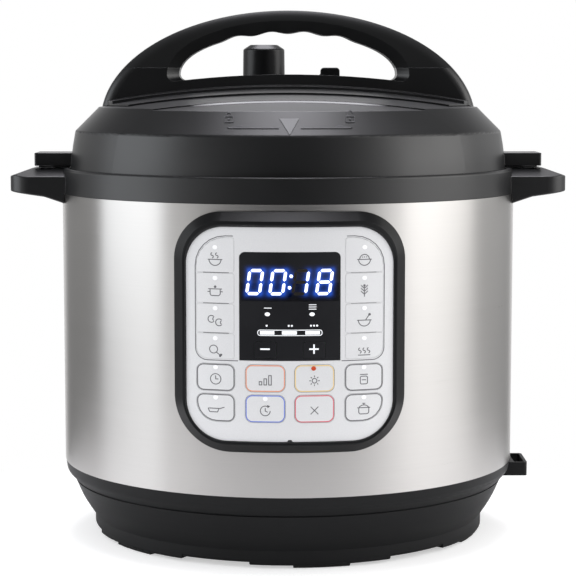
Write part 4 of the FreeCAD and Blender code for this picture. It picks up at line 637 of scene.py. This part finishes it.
def steam_sign(pen):
    for x in (-2.4, 0.0, 2.4):
        wisp(pen, x, -1.4)
    pen.line(-3.4, -2.5, 3.4, -2.5)


def clock_sign(pen):
    pen.arc(0, 0, 2.9, 0)
    pen.line(0, -0.2, 0, 1.9)
    pen.line(-0.2, 0, 1.5, 0)


def level_sign(pen):
    for x, top in ((-2.6, -0.8), (0.0, 0.8), (2.6, 2.6)):
        for side in (-1, 1):
            pen.line(x + side * 0.7, -2.6, x + side * 0.7, top)
        pen.line(x - 0.9, top, x + 0.9, top)
        pen.line(x - 0.9, -2.6, x + 0.9, -2.6)


def warm_sign(pen):
    pen.arc(0, -0.3, 1.3, 0)
    for ray in range(8):
        way = Vector((math.cos(ray * math.pi / 4), math.sin(ray * math.pi / 4)))
        pen.line(way.x * 2.0, way.y * 2.0 - 0.3, way.x * 2.9, way.y * 2.9 - 0.3)


def jar_sign(pen):
    pen.outline(-2.0, -2.9, 2.0, 1.4, 0.8, 0.8, 0.8, 0.8)
    pen.line(-2.2, 2.4, 2.2, 2.4)
    pen.line(-1.2, -0.6, 1.2, -0.6)


def pan_sign(pen):
    pen.line(-4.2, 0.4, 1.8, 0.4)
    pen.line(-4.2, 0.4, -3.4, -1.6)
    pen.line(-3.4, -1.6, 1.0, -1.6)
    pen.line(1.0, -1.6, 1.8, 0.4)
    pen.line(1.8, 0.2, 4.8, 1.2)


def timer_sign(pen):
    pen.arc(0, -0.2, 2.7, 60, 300)
    pen.line(0, -0.3, 0, 1.4)
    pen.line(-0.2, -0.2, 1.3, -0.9)
    pen.plate((1.0, 3.1), (1.3, 1.3), (2.7, 2.4))


def cancel_sign(pen):
    pen.line(-2.1, -2.1, 2.1, 2.1)
    pen.line(-2.1, 2.1, 2.1, -2.1)


def pressure_sign(pen):
    pot_body(pen)
    pen.line(-3.6, 0.7, 3.6, 0.7)
    pen.arc(0, -1.2, 3.4, 40, 100)
    pen.line(0, 2.2, 0, 3.0)
    pen.line(-0.8, 3.1, 0.8, 3.1)


KEY_SIGNS = {
    "key_left_1": soup_sign, "key_left_2": stew_sign,
    "key_left_3": beans_sign, "key_left_4": drumstick_sign,
    "key_right_1": rice_sign, "key_right_2": grain_sign,
    "key_right_3": porridge_sign, "key_right_4": steam_sign,
    "key_row_1_1": clock_sign, "key_row_1_2": level_sign, "key_row_1_3": warm_sign, "key_row_1_4": jar_sign,
    "key_row_2_1": pan_sign, "key_row_2_2": timer_sign,
    "key_row_2_3": cancel_sign, "key_row_2_4": pressure_sign,
}
SIDE_SIGN_DROP = 6.9     # mm, from a side key's lamp to the middle of its sign
LOW_SIGN_DROP = 6.5
SIGN_LINE = 0.46
LAMP_R = 1.2
LAMP_STRETCH = 1.1
LAMP_HEIGHT = 0.25 * MM
SIDE_LAMP_Z = {"1": 183.8, "2": 166.9, "3": 150.3, "4": 133.7}   # by row
LOW_LAMP_Z = {"1": 117.6, "2": 100.8}
NO_LAMP = ("key_row_1_2", "key_row_2_3")
LIT_LAMP = "key_row_1_3"
LIT_LAMP_ASIDE = -0.5    # mm, from the middle of its key

GREY_INK = ink("grey_ink", (0.13, 0.13, 0.14, 1.0))
PALE_INK = ink("pale_grey_ink", (0.36, 0.36, 0.37, 1.0))
FRAME_INKS = {
    "key_row_1_1": GREY_INK, "key_row_1_4": GREY_INK, "key_row_2_1": GREY_INK, "key_row_2_4": GREY_INK,
    "key_row_1_2": ink("orange_ink", (0.85, 0.31, 0.17, 1.0)),
    "key_row_1_3": ink("yellow_ink", (0.85, 0.62, 0.26, 1.0)),
    "key_row_2_2": ink("blue_ink", (0.13, 0.21, 0.72, 1.0)),
    "key_row_2_3": ink("red_ink", (0.72, 0.11, 0.16, 1.0)),
}
# The unlit lamps' clear lenses glow a little: a painted glow, as no lamp behind them is lit.
UNLIT_LAMP_PAINTED_GLOW = lamp_light_and_painted_glow("unlit_lamp_painted_glow", (0.93, 0.93, 0.94, 1.0), 0.12)
RED_LAMP = lamp_light_and_painted_glow("red_lamp", (0.55, 0.06, 0.012, 1.0), 0.12)

SKIRT_W = 0.34           # mm, of the rim round a side key
SKIRT_R = 1.2
SKIRT_TOP_R = 16.0       # at the outer corner of the top key
SKIRT_LOW_R = 6.0        # at the outer corner of the lowest key
SKIRT_SINK = 0.25 * MM   # under the key's face
SKIRT_T = 0.1 * MM
FRAME_INSET = 0.4        # mm, from a key's edge to the middle of its printed frame
FRAME_LINE = 0.5
FRAME_CORNER = 3.4
FRAME_LOW_CORNER = 10.6  # at the outer corners of the lowest row


def key_edges(name):
    """Left, right, foot and top of a key, in mm from the cooker's axis."""
    low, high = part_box(name)
    return (low - AXIS).x / MM, (high - AXIS).x / MM, low.z / MM, high.z / MM


def key_skirt(name):
    """Thin rim round a side key, just under its face, that closes the gap to the fascia as a film does."""
    x0, x1, foot, top = key_edges(name)
    row = name.split("_")[2]
    foot_r = SKIRT_LOW_R if row == "4" else SKIRT_R
    top_r = SKIRT_TOP_R if row == "1" else SKIRT_R
    is_left = "left" in name
    corners = (foot_r, SKIRT_R, SKIRT_R, top_r) if is_left else (SKIRT_R, foot_r, top_r, SKIRT_R)
    rim = Drawing(SKIRT_W)
    rim.outline(x0, foot, x1, top, *corners)
    key = frame["nodes"][name].data
    face_r = max((vertex.co - AXIS).xy.length for vertex in key.vertices) - SKIRT_SINK
    mesh = thickened(rim)
    for vertex in mesh.verts:
        x, radius = vertex.co.x * MM, face_r + (vertex.co.y + 1) * -SKIRT_T
        vertex.co = AXIS + Vector((x, -math.sqrt(radius * radius - x * x), vertex.co.z * MM))
    placed(f"{name}_skirt", mesh, SLOT_FINISHES["silver_key"], name)


def key_frame(name):
    """Printed frame along the edge of a lower key."""
    x0, x1, foot, top = key_edges(name)
    low_left = FRAME_LOW_CORNER if name == "key_row_2_1" else FRAME_CORNER
    low_right = FRAME_LOW_CORNER if name == "key_row_2_4" else FRAME_CORNER
    edges = Drawing(FRAME_LINE)
    edges.outline(x0 + FRAME_INSET, foot + FRAME_INSET, x1 - FRAME_INSET, top - FRAME_INSET,
                  low_left, low_right, FRAME_CORNER, FRAME_CORNER)
    laid(f"{name}_frame", edges, FRAME_INKS[name], name, name)


def print_key(name):
    """Sign, lamp and frame or skirt of one key, all riding on it."""
    x0, x1, _, _ = key_edges(name)
    middle_x = (x0 + x1) / 2
    row = name.split("_")[2]
    on_side = not name.startswith("key_row")
    lamp_z = SIDE_LAMP_Z[row] if on_side else LOW_LAMP_Z[row]
    sign = Drawing(SIGN_LINE)
    KEY_SIGNS[name](sign)
    drop = SIDE_SIGN_DROP if on_side else LOW_SIGN_DROP
    laid(f"{name}_sign", sign, GREY_INK, name, name, at=(middle_x, lamp_z - drop))
    if name not in NO_LAMP:
        is_lit = name == LIT_LAMP
        lamp = Drawing()
        lamp.dot(LIT_LAMP_ASIDE if is_lit else 0, 0, LAMP_R, LAMP_STRETCH)
        laid(f"{name}_lamp", lamp, RED_LAMP if is_lit else UNLIT_LAMP_PAINTED_GLOW, name, name,
             at=(middle_x, lamp_z), height=LAMP_HEIGHT)
    if on_side:
        key_skirt(name)
    else:
        key_frame(name)


# Printed lines of the fascia

COLUMN_X = 51.95         # mm, upright line outside the side keys
COLUMN_TOP_Z = 190.1
COLUMN_LOW_Z = 121.5
COLUMN_START_X = 31.1
COLUMN_END_X = 28.4
COLUMN_TOP_R = 16.5
COLUMN_LOW_R = 6.5
DIVIDER_X = (33.4, 47.6)
DIVIDER_Z = (169.9, 153.0, 136.6)
DIVIDER_LINE = 0.3
TAB_RISE = 0.15          # mm, of the bezel's tab over the foot of the fascia
TAB_HALF_W = 1.5
TAB_TOP_HALF_W = 0.9
TAB_H = 0.9
TAB_HEIGHT = 0.3 * MM


def print_fascia():
    """Line round each column of side keys, and the dividers between its keys."""
    for side, label, divider in ((-1, "left", GREY_INK), (1, "right", PALE_INK)):
        lines = Drawing()
        turn = 90 * side
        lines.line(side * COLUMN_START_X, COLUMN_TOP_Z, side * (COLUMN_X - COLUMN_TOP_R), COLUMN_TOP_Z)
        lines.arc(side * (COLUMN_X - COLUMN_TOP_R), COLUMN_TOP_Z - COLUMN_TOP_R, COLUMN_TOP_R, 90, -turn)
        lines.line(side * COLUMN_X, COLUMN_TOP_Z - COLUMN_TOP_R, side * COLUMN_X, COLUMN_LOW_Z + COLUMN_LOW_R)
        lines.arc(side * (COLUMN_X - COLUMN_LOW_R), COLUMN_LOW_Z + COLUMN_LOW_R, COLUMN_LOW_R, 270, turn)
        lines.line(side * (COLUMN_X - COLUMN_LOW_R), COLUMN_LOW_Z, side * COLUMN_END_X, COLUMN_LOW_Z)
        laid(f"{label}_column_line", lines, GREY_INK, "fascia", "cooker")
        dividers = Drawing(DIVIDER_LINE)
        for z in DIVIDER_Z:
            dividers.line(side * DIVIDER_X[0], z, side * DIVIDER_X[1], z)
        laid(f"{label}_column_dividers", dividers, divider, "fascia", "cooker")


def bezel_tab():
    """Small tab of the bezel that laps over the bottom edge of the fascia."""
    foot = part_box("fascia")[0].z / MM + TAB_RISE
    top = foot + TAB_H
    tab = Drawing()
    tab.plate((-TAB_HALF_W, foot), (TAB_HALF_W, foot), (TAB_TOP_HALF_W, top), (-TAB_TOP_HALF_W, top))
    laid("bezel_tab", tab, SLOT_FINISHES["bezel_plastic"], "fascia", "cooker", height=TAB_HEIGHT)


# Display

DIGIT_W = 7.0            # mm, between the middles of the upright segments
DIGIT_H = 12.7
DIGIT_SLANT = math.tan(math.radians(8.0))
DIGIT_Z = 165.1
DIGIT_X = {"0": -19.2, "0b": -6.6, "1": 5.9, "8": 18.9}
SEGMENT_W = 1.75
SEGMENT_GAP = 0.35
LIT_SEGMENTS = {"0": "abcdef", "1": "bc", "8": "abcdefg"}
UNLIT_SEGMENTS = "adefg"
COLON_X = 0.2
COLON_Z = (168.4, 162.1)
COLON_R = 0.95
GLOW_REACH = 0.95        # mm, in which the light round a segment falls to a third
GLOW_LEVEL = 0.7         # of one segment, at its edge
GLOW_MARGIN = 4.2
GLOW_STEP = 0.5
GLOW_HEIGHT = 0.01 * MM
UNLIT_HEIGHT = 0.07 * MM
DIGIT_HEIGHT = 0.08 * MM
DIGIT_RIM = 0.3
MARK_LINE = 0.4          # mm, of the white marks under the digits
PRESSURE_LAMP_X = (-12.3, 12.1)
PRESSURE_LAMP_Z = 147.5
PRESSURE_LAMP_R = 1.05
PRESSURE_LAMP_STRETCH = 1.4
PRESSURE_LINES = {-12.1: (150.9,), 12.4: (150.3, 151.5, 152.7)}  # heights of the lines over each lamp
PRESSURE_LINE_HALF_L = 2.1
BAR_HALF_L = 17.6
BAR_Z = (135.8, 138.8)
BAR_CORNER = 1.3
BAR_PARTS = ((-16.4, -8.5), (-4.4, 3.8), (8.4, 16.4))
BAR_PART_W = 2.0
BAR_DOTS = {-12.7: 1, 0.2: 2, 13.2: 3}   # how many over each part of the bar
BAR_DOT_Z = 141.2
BAR_DOT_R = 0.55
BAR_DOT_STEP = 1.7
PLUS_LINE = 0.85
PLUS_HALF_L = 2.6
PLUS_ASIDE = -0.2        # mm, from the middle of its key
PLUS_RISE = 0.5

DIGIT_LIGHT = lit_digit("digit_light", (0.93, 0.96, 1.0, 1.0), (0.3, 0.42, 1.0, 1.0), 1.0)
DIGIT_GLOW = lit_window("digit_glow", WINDOW_BLACK, (0.014, 0.078, 0.5, 1.0))
UNLIT_SEGMENT = smoked_window("unlit_segment", (0.019, 0.016, 0.013, 1.0), 0.25)
# The white print on the display and on the minus and plus keys glows: a painted glow.
WHITE_INK_PAINTED_GLOW = lamp_light_and_painted_glow("white_mark_painted_glow", (0.85, 0.87, 0.9, 1.0), 0.35)


def segment_ends():
    """Start and end of each segment of a digit, from its middle."""
    half_w, half_h = DIGIT_W / 2, DIGIT_H / 2
    return {
        "a": (-half_w, half_h, half_w, half_h), "b": (half_w, half_h, half_w, 0),
        "c": (half_w, 0, half_w, -half_h), "d": (-half_w, -half_h, half_w, -half_h),
        "e": (-half_w, 0, -half_w, -half_h), "f": (-half_w, half_h, -half_w, 0), "g": (-half_w, 0, half_w, 0)}


def segment_plate(drawing, x0, z0, x1, z1):
    """One segment, with its ends cut to a point where they meet the next."""
    start, end = Vector((x0, 0, z0)), Vector((x1, 0, z1))
    along = (end - start).normalized()
    across = Vector((-along.z, 0, along.x)) * SEGMENT_W / 2
    first, last = start + along * SEGMENT_GAP, end - along * SEGMENT_GAP
    point = along * SEGMENT_W / 2
    ring = [first, first + point - across, last - point - across,
            last, last - point + across, first + point + across]
    drawing.plate(*((corner.x, corner.z) for corner in ring))


def digit(drawing, segments, x):
    """Slanted digit of the given segments, with its middle at x."""
    before = set(drawing.mesh.verts)
    ends = segment_ends()
    for letter in segments:
        segment_plate(drawing, *ends[letter])
    made = [vertex for vertex in drawing.mesh.verts if vertex not in before]
    slant = Matrix.Identity(4)
    slant[0][2] = DIGIT_SLANT
    bmesh.ops.transform(drawing.mesh, matrix=Matrix.Translation((x, 0, DIGIT_Z)) @ slant, verts=made)


def lit_drawing():
    """All lit segments and the colon."""
    drawing = Drawing()
    for label, x in DIGIT_X.items():
        digit(drawing, LIT_SEGMENTS[label[0]], x)
    for z in COLON_Z:
        drawing.dot(COLON_X + (z - DIGIT_Z) * DIGIT_SLANT, z, COLON_R)
    return drawing


def with_rims(drawing, rim):
    """Adds a rim inside each plate, and a glow that is 1 in the plate and 0 at its outline."""
    mesh = drawing.mesh
    glow = mesh.verts.layers.float.new("glow")
    outline = set(mesh.verts)
    bmesh.ops.inset_individual(mesh, faces=mesh.faces[:], thickness=rim)
    for vertex in mesh.verts:
        vertex[glow] = 0.0 if vertex in outline else 1.0
    return drawing


def lit_lines():
    """Middle lines of the lit segments, and the dots of the colon as lines of no length."""
    lines = []
    for label, x in DIGIT_X.items():
        for letter in LIT_SEGMENTS[label[0]]:
            x0, z0, x1, z1 = segment_ends()[letter]
            lines.append((Vector((x + x0 + z0 * DIGIT_SLANT, 0, DIGIT_Z + z0)),
                          Vector((x + x1 + z1 * DIGIT_SLANT, 0, DIGIT_Z + z1))))
    for z in COLON_Z:
        place = Vector((COLON_X + (z - DIGIT_Z) * DIGIT_SLANT, 0, z))
        lines.append((place, place))
    return lines


def distance_to(place, start, end):
    """Distance from a place to the line between two points, which may be the same point."""
    along = end - start
    share = (place - start).dot(along) / along.length_squared if along.length else 0.0
    return (place - start - along * min(1.0, max(0.0, share))).length


def glow_drawing():
    """Fine net over the digits, with a glow that falls off round each lit segment and ends at its edge."""
    lines = lit_lines()
    reach_x = max(abs(x) for x in DIGIT_X.values()) + DIGIT_W / 2 + GLOW_MARGIN
    reach_z = DIGIT_H / 2 + GLOW_MARGIN
    drawing = Drawing()
    mesh = drawing.mesh
    upright = Matrix.Translation((0, 0, DIGIT_Z)) @ Matrix.Rotation(math.pi / 2, 4, "X")
    bmesh.ops.create_grid(
        mesh, size=1.0, matrix=upright @ Matrix.Diagonal((reach_x, reach_z, 1, 1)),
        x_segments=round(2 * reach_x / GLOW_STEP), y_segments=round(2 * reach_z / GLOW_STEP))
    glow = mesh.verts.layers.float.new("glow")
    for vertex in mesh.verts:
        light = 0.0
        for start, end in lines:
            away = distance_to(vertex.co, start, end) - SEGMENT_W / 2
            light += GLOW_LEVEL * math.exp(-max(0.0, away) / GLOW_REACH)
        edge = min(reach_x - abs(vertex.co.x), reach_z - abs(vertex.co.z - DIGIT_Z)) / GLOW_MARGIN
        vertex[glow] = min(1.0, light) * min(1.0, max(0.0, edge))
    return drawing


def display():
    """Digits with their glow, the white marks under them, and the signs of the minus and plus keys."""
    window = ("display_window", "cooker")
    unlit = Drawing()
    digit(unlit, UNLIT_SEGMENTS, DIGIT_X["1"])
    digits = with_rims(lit_drawing(), DIGIT_RIM)
    laid("display_glow", glow_drawing(), DIGIT_GLOW, *window, height=GLOW_HEIGHT)
    laid("display_unlit_segments", unlit, UNLIT_SEGMENT, *window, height=UNLIT_HEIGHT)
    laid("display_digits", digits, DIGIT_LIGHT, *window, height=DIGIT_HEIGHT)
    marks = Drawing(MARK_LINE)
    for x in PRESSURE_LAMP_X:
        marks.dot(x, PRESSURE_LAMP_Z, PRESSURE_LAMP_R, PRESSURE_LAMP_STRETCH)
    for x, heights in PRESSURE_LINES.items():
        for z in heights:
            marks.line(x - PRESSURE_LINE_HALF_L, z, x + PRESSURE_LINE_HALF_L, z)
    marks.outline(-BAR_HALF_L, BAR_Z[0], BAR_HALF_L, BAR_Z[1], *(BAR_CORNER,) * 4)
    for x, count in BAR_DOTS.items():
        for i in range(count):
            marks.dot(x + (i - (count - 1) / 2) * BAR_DOT_STEP, BAR_DOT_Z, BAR_DOT_R)
    laid("display_marks", marks, WHITE_INK_PAINTED_GLOW, *window)
    bars = Drawing(BAR_PART_W)
    for x0, x1 in BAR_PARTS:
        bars.line(x0, sum(BAR_Z) / 2, x1, sum(BAR_Z) / 2)
    laid("display_level_bars", bars, WHITE_INK_PAINTED_GLOW, *window)
    for key in ("key_minus", "key_plus"):
        x0, x1, foot, top = key_edges(key)
        sign = Drawing(PLUS_LINE)
        sign.line(-PLUS_HALF_L, 0, PLUS_HALF_L, 0)
        if key == "key_plus":
            sign.line(0, -PLUS_HALF_L, 0, PLUS_HALF_L)
        laid(f"{key}_sign", sign, WHITE_INK_PAINTED_GLOW, key, key,
             at=((x0 + x1) / 2 + PLUS_ASIDE, (foot + top) / 2 + PLUS_RISE))


# Marks, rim and pads of the lid

POLISHED_RIM = moulded_plastic("polished_rim", LID_BLACK, 0.2, depth=0.02, edge=0.15 * MM)
LID_POINTER = moulded_plastic("lid_pointer_plastic", (0.14, 0.14, 0.147, 1.0), 0.42, edge=0.15 * MM)
# Lighter copy of the lid plastic: a painted highlight on the embossed marks, which are the lid's own black.
LID_MARK = moulded_plastic("lid_mark_painted_highlight", (0.042, 0.042, 0.046, 1.0), 0.4, edge=0.15 * MM)

LID_MARK_HEIGHT = 0.35 * MM
POINTER = ((-5.6, 253.3), (0.0, 244.6), (5.2, 253.3))
POINTER_CUTS = 3
TURN_LINE = 0.4          # mm, of the lines that show which way the lid turns
TURN_Z = 248.2
TURN_X = (6.0, 33.5)
TURN_ARROW = ((24.5, 0.1), (27.0, 1.6), (34.5, 0.1))  # over the turn line
LOCK_X = 33.5
LOCK_Z = 253.6
LOCK_HALF_W = 2.4
LOCK_FOOT = -2.2         # mm, from the padlock's middle, as are the other heights
LOCK_TOP = 0.9
LOCK_CORNER = 0.5
KEYHOLE_Z = -0.6
KEYHOLE_R = 0.55
SHACKLE_R = 1.5
SHACKLE_FOOT = 1.1
SHACKLE_BEND = 1.4
SHACKLE_LIFT = 1.2       # mm, when open

RIM_HALF_L = 57.0        # mm, of the polished rim that leans on the step along the front of the crown
RIM_BACK_Y = -85.6
RIM_W = 2.4
RIM_TAPER_L = 22.0
RIM_END_SHARE = 0.25     # of its width, at its ends
RIM_HEIGHT = 0.02 * MM

FIN_PAD_FROM_END = 2.6 * MM
FIN_PAD_L = 17.6 * MM
FIN_PAD_W = 26.0 * MM
FIN_PAD_GAP = 0.45 * MM  # to the side handle
FIN_PAD_SINK = 0.2 * MM  # in the fin
FIN_PAD_EDGE = 0.2 * MM


def padlock(drawing, x, z, is_open):
    """Padlock with its shackle shut, or swung up."""
    bend = z + SHACKLE_BEND + (SHACKLE_LIFT if is_open else 0.0)
    drawing.outline(x - LOCK_HALF_W, z + LOCK_FOOT, x + LOCK_HALF_W, z + LOCK_TOP, *(LOCK_CORNER,) * 4)
    drawing.dot(x, z + KEYHOLE_Z, KEYHOLE_R)
    drawing.line(x - SHACKLE_R, z + SHACKLE_FOOT, x - SHACKLE_R, bend)
    drawing.arc(x, bend, SHACKLE_R, 0, 180)
    if not is_open:
        drawing.line(x + SHACKLE_R, z + SHACKLE_FOOT, x + SHACKLE_R, bend)


def lid_marks():
    """Pointer at the front of the lid, and the lines, arrows and padlocks beside it."""
    pointer = Drawing()
    pointer.plate(*POINTER)
    bmesh.ops.subdivide_edges(pointer.mesh, edges=pointer.mesh.edges[:], cuts=POINTER_CUTS,
                              use_grid_fill=True)
    laid("lid_pointer", pointer, LID_POINTER, "lid_cover", "lid", height=LID_MARK_HEIGHT)
    turn = Drawing(TURN_LINE)
    for side in (-1, 1):
        turn.line(side * TURN_X[0], TURN_Z, side * TURN_X[1], TURN_Z)
        turn.plate(*((side * x, TURN_Z + rise) for x, rise in TURN_ARROW))
    padlock(turn, -LOCK_X, LOCK_Z, False)
    padlock(turn, LOCK_X, LOCK_Z, True)
    laid("lid_turn_marks", turn, LID_MARK, "lid_cover", "lid", height=LID_MARK_HEIGHT)


def polished_rim():
    """Glossy slope in front of the crown's step, which tapers to its ends."""
    rim = Drawing(RIM_W)
    rim.line(-RIM_HALF_L, RIM_BACK_Y - RIM_W / 2, RIM_HALF_L, RIM_BACK_Y - RIM_W / 2)
    for vertex in rim.mesh.verts:
        share = min(1.0, (RIM_HALF_L - abs(vertex.co.x)) / RIM_TAPER_L + RIM_END_SHARE)
        vertex.co.z = RIM_BACK_Y + (vertex.co.z - RIM_BACK_Y) * share
    laid("crown_rim", rim, POLISHED_RIM, "lid_cover", "lid", sight=from_above, height=RIM_HEIGHT)


def fin_pad(side, label):
    """Pad under a fin of the lid, which rides just above the side handle."""
    end_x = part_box("lid_cover")[side > 0].x
    x = end_x - side * (FIN_PAD_FROM_END + FIN_PAD_L / 2)
    fin, _, _, _ = surface_of("lid_cover").ray_cast(Vector((x, AXIS.y, 0)), Vector((0, 0, 1)))
    handle, _, _, _ = surface_of("upper_housing").ray_cast(fin, Vector((0, 0, -1)))
    low, high = handle.z + FIN_PAD_GAP, fin.z + FIN_PAD_SINK
    mesh = bmesh.new()
    bmesh.ops.create_cube(mesh, size=1.0, matrix=Matrix.Translation((x, AXIS.y, (low + high) / 2))
                          @ Matrix.Diagonal((FIN_PAD_L, FIN_PAD_W, high - low, 1)))
    bmesh.ops.bevel(mesh, geom=mesh.edges[:], offset=FIN_PAD_EDGE, affect="EDGES", segments=2,
                    profile=0.5, material=-1)
    placed(f"fin_pad_{label}", mesh, SLOT_FINISHES["black_plastic"], "lid")


# Studio

FLOOR_R = 0.42
FLOOR_MIDDLE = (0.0, -0.2, -0.0003)
FLOOR_WHITE = (0.8, 0.8, 0.8, 1.0)
FLOOR_LIFT = 0.5         # of the paper towards white, to the eye
FLOOR_FADE = (0.24, 0.4)  # from its middle, in which it turns white
FLOOR_CORNERS = 96
BACKDROP = (1.0, 1.0, 1.0, 1.0)
SOFT_LIGHT = (0.84, 0.84, 0.85, 1.0)
# The room in gloss: its levels from the front (0) to the back (1), and how they change to the sides
# and overhead. Directions are parts of a unit vector.
ROOM = ((0.0, 0.0), (0.03, 0.08), (0.1, 0.3), (0.2, 0.75), (0.35, 0.86), (0.5, 0.7), (0.65, 0.64),
        (0.8, 0.66), (0.92, 0.6))
ROOM_SIDES = (0.75, 1.45)
ROOM_OVERHEAD = 0.25
OVERHEAD_FROM = (0.2, 0.5)
BELOW_LOSS = 0.6         # of the level below, towards the back
BELOW_FROM = (-0.1, 0.1)
BELOW_BACK = (0.0, 0.4)
BACKDROP_FROM = (0.86, 0.95)


def floor():
    """Round sheet of pale paper that turns into the white backdrop towards its edge."""
    mesh = bmesh.new()
    bmesh.ops.create_circle(mesh, cap_ends=True, cap_tris=True, segments=FLOOR_CORNERS, radius=FLOOR_R,
                            matrix=Matrix.Translation(FLOOR_MIDDLE))
    material = bpy.data.materials.new("floor_paper")
    material.use_nodes = True
    tree = material.node_tree
    tree.nodes.clear()
    path = add(tree, "LightPath").outputs
    seen = math_node(tree, "MAXIMUM", path["Is Camera Ray"], path["Is Transmission Ray"])
    place = object_coordinates(tree)
    away = add(tree, "VectorMath", {0: place, 1: FLOOR_MIDDLE}, operation="DISTANCE").outputs["Value"]
    paper = add(tree, "BsdfDiffuse", {"Color": FLOOR_WHITE})
    lift = add(tree, "Emission", {"Color": BACKDROP, "Strength": FLOOR_LIFT})
    near = add(tree, "AddShader", {0: paper.outputs[0], 1: lift.outputs[0]})
    white = add(tree, "Emission", {"Color": BACKDROP, "Strength": 1.0})
    fade = spread(tree, away, 0.0, 1.0, *FLOOR_FADE)
    shown = add(tree, "MixShader", {0: fade, 1: near.outputs[0], 2: white.outputs[0]})
    whole = add(tree, "MixShader", {0: seen, 1: paper.outputs[0], 2: shown.outputs[0]})
    join(tree, add(tree, "OutputMaterial").inputs["Surface"], whole.outputs[0])
    material.cycles.emission_sampling = "NONE"
    meshed("floor", mesh, material)


def world():
    """White to the eye; in gloss, the backdrop behind and a room that is darkest in front and overhead."""
    studio = bpy.data.worlds.new("studio")
    bpy.context.scene.world = studio
    studio.use_nodes = True
    tree = studio.node_tree
    tree.nodes.clear()
    path = add(tree, "LightPath").outputs
    way = add(tree, "SeparateXYZ", {0: add(tree, "TexCoord").outputs["Generated"]}).outputs
    ramp = add(tree, "ValToRGB", {"Fac": spread(tree, way["Y"], 0.0, 1.0, -1.0, 1.0)})
    stops = ramp.color_ramp.elements
    stops[0].position, stops[1].position = ROOM[0][0], ROOM[-1][0]
    for position, _ in ROOM[1:-1]:
        stops.new(position)
    for stop, (_, level) in zip(stops, ROOM):
        stop.color = (level, level, level, 1)
    sides = spread(tree, way["X"], *ROOM_SIDES, -1.0, 1.0)
    overhead = spread(tree, way["Z"], 1.0, ROOM_OVERHEAD, *OVERHEAD_FROM)
    level = math_node(tree, "MULTIPLY", ramp.outputs["Color"], math_node(tree, "MULTIPLY", sides, overhead))
    low_down = spread(tree, way["Z"], BELOW_LOSS, 0.0, *BELOW_FROM)
    below = math_node(tree, "MULTIPLY", low_down, spread(tree, way["Y"], 0.0, 1.0, *BELOW_BACK))
    level = math_node(tree, "MULTIPLY", level, math_node(tree, "SUBTRACT", 1.0, below))
    level = math_node(tree, "MAXIMUM", level, spread(tree, way["Y"], 0.0, 1.0, *BACKDROP_FROM))
    gloss = add(tree, "Background", {"Color": BACKDROP, "Strength": level})
    soft = add(tree, "Background", {"Color": SOFT_LIGHT, "Strength": 1.0})
    white = add(tree, "Background", {"Color": BACKDROP, "Strength": 1.0})
    lit = add(tree, "MixShader", {0: path["Is Glossy Ray"], 1: soft.outputs[0], 2: gloss.outputs[0]})
    seen = math_node(tree, "MAXIMUM", path["Is Camera Ray"], path["Is Transmission Ray"])
    whole = add(tree, "MixShader", {0: seen, 1: lit.outputs[0], 2: white.outputs[0]})
    join(tree, add(tree, "OutputWorld").inputs["Surface"], whole.outputs[0])
    studio.cycles.sampling_method = "NONE"


def softbox(name, place, aim, width, height, watts, colour, shape="RECTANGLE"):
    """Area lamp at a place, aimed at another, that the camera doesn't see."""
    lamp = bpy.data.lights.new(name, "AREA")
    lamp.shape = shape
    lamp.size, lamp.size_y = width, height
    lamp.energy = watts
    lamp.color = colour
    piece = linked(name, lamp)
    piece.location = place
    piece.rotation_euler = (Vector(aim) - Vector(place)).to_track_quat("-Z", "Y").to_euler()
    piece.visible_camera = False


CAMERA_AWAY = 1.1983     # from the cooker's axis
CAMERA_HEIGHT = 0.2748
CAMERA_ASIDE = -0.0089
CAMERA_PITCH = math.radians(6.095)
CAMERA_LENS = 121.9
CAMERA_SENSOR = 36.0


def camera():
    """The photo's camera, fitted to its outline."""
    data = bpy.data.cameras.new("camera")
    data.lens = CAMERA_LENS
    data.sensor_width = CAMERA_SENSOR
    piece = linked("camera", data)
    piece.location = AXIS + Vector((CAMERA_ASIDE, -CAMERA_AWAY, CAMERA_HEIGHT))
    turn = math.atan2(CAMERA_ASIDE, CAMERA_AWAY)
    piece.rotation_euler = (math.pi / 2 - CAMERA_PITCH, 0, turn)
    bpy.context.scene.camera = piece


dress_frame()
for key_name in KEY_SIGNS:
    print_key(key_name)
print_fascia()
bezel_tab()
display()
lid_marks()
polished_rim()
fin_pad(-1, "left")
fin_pad(1, "right")

floor()
world()
cooker_middle = (0, AXIS.y, 0.15)
softbox("top_softbox", (0.0, 0.58, 1.45), (0, 0.58, 0), 0.8, 2.0, 21.5, (0.95, 0.94, 1.0), shape="ELLIPSE")
softbox("left_softbox", (-1.22, -0.18, 0.46), cooker_middle, 0.95, 0.9, 4.6, (0.92, 0.96, 1.0))
softbox("right_softbox", (1.2, -0.26, 0.63), cooker_middle, 1.1, 0.9, 5.4, (1.0, 0.985, 0.965))
camera()
bpy.context.scene.view_settings.view_transform = "Standard"
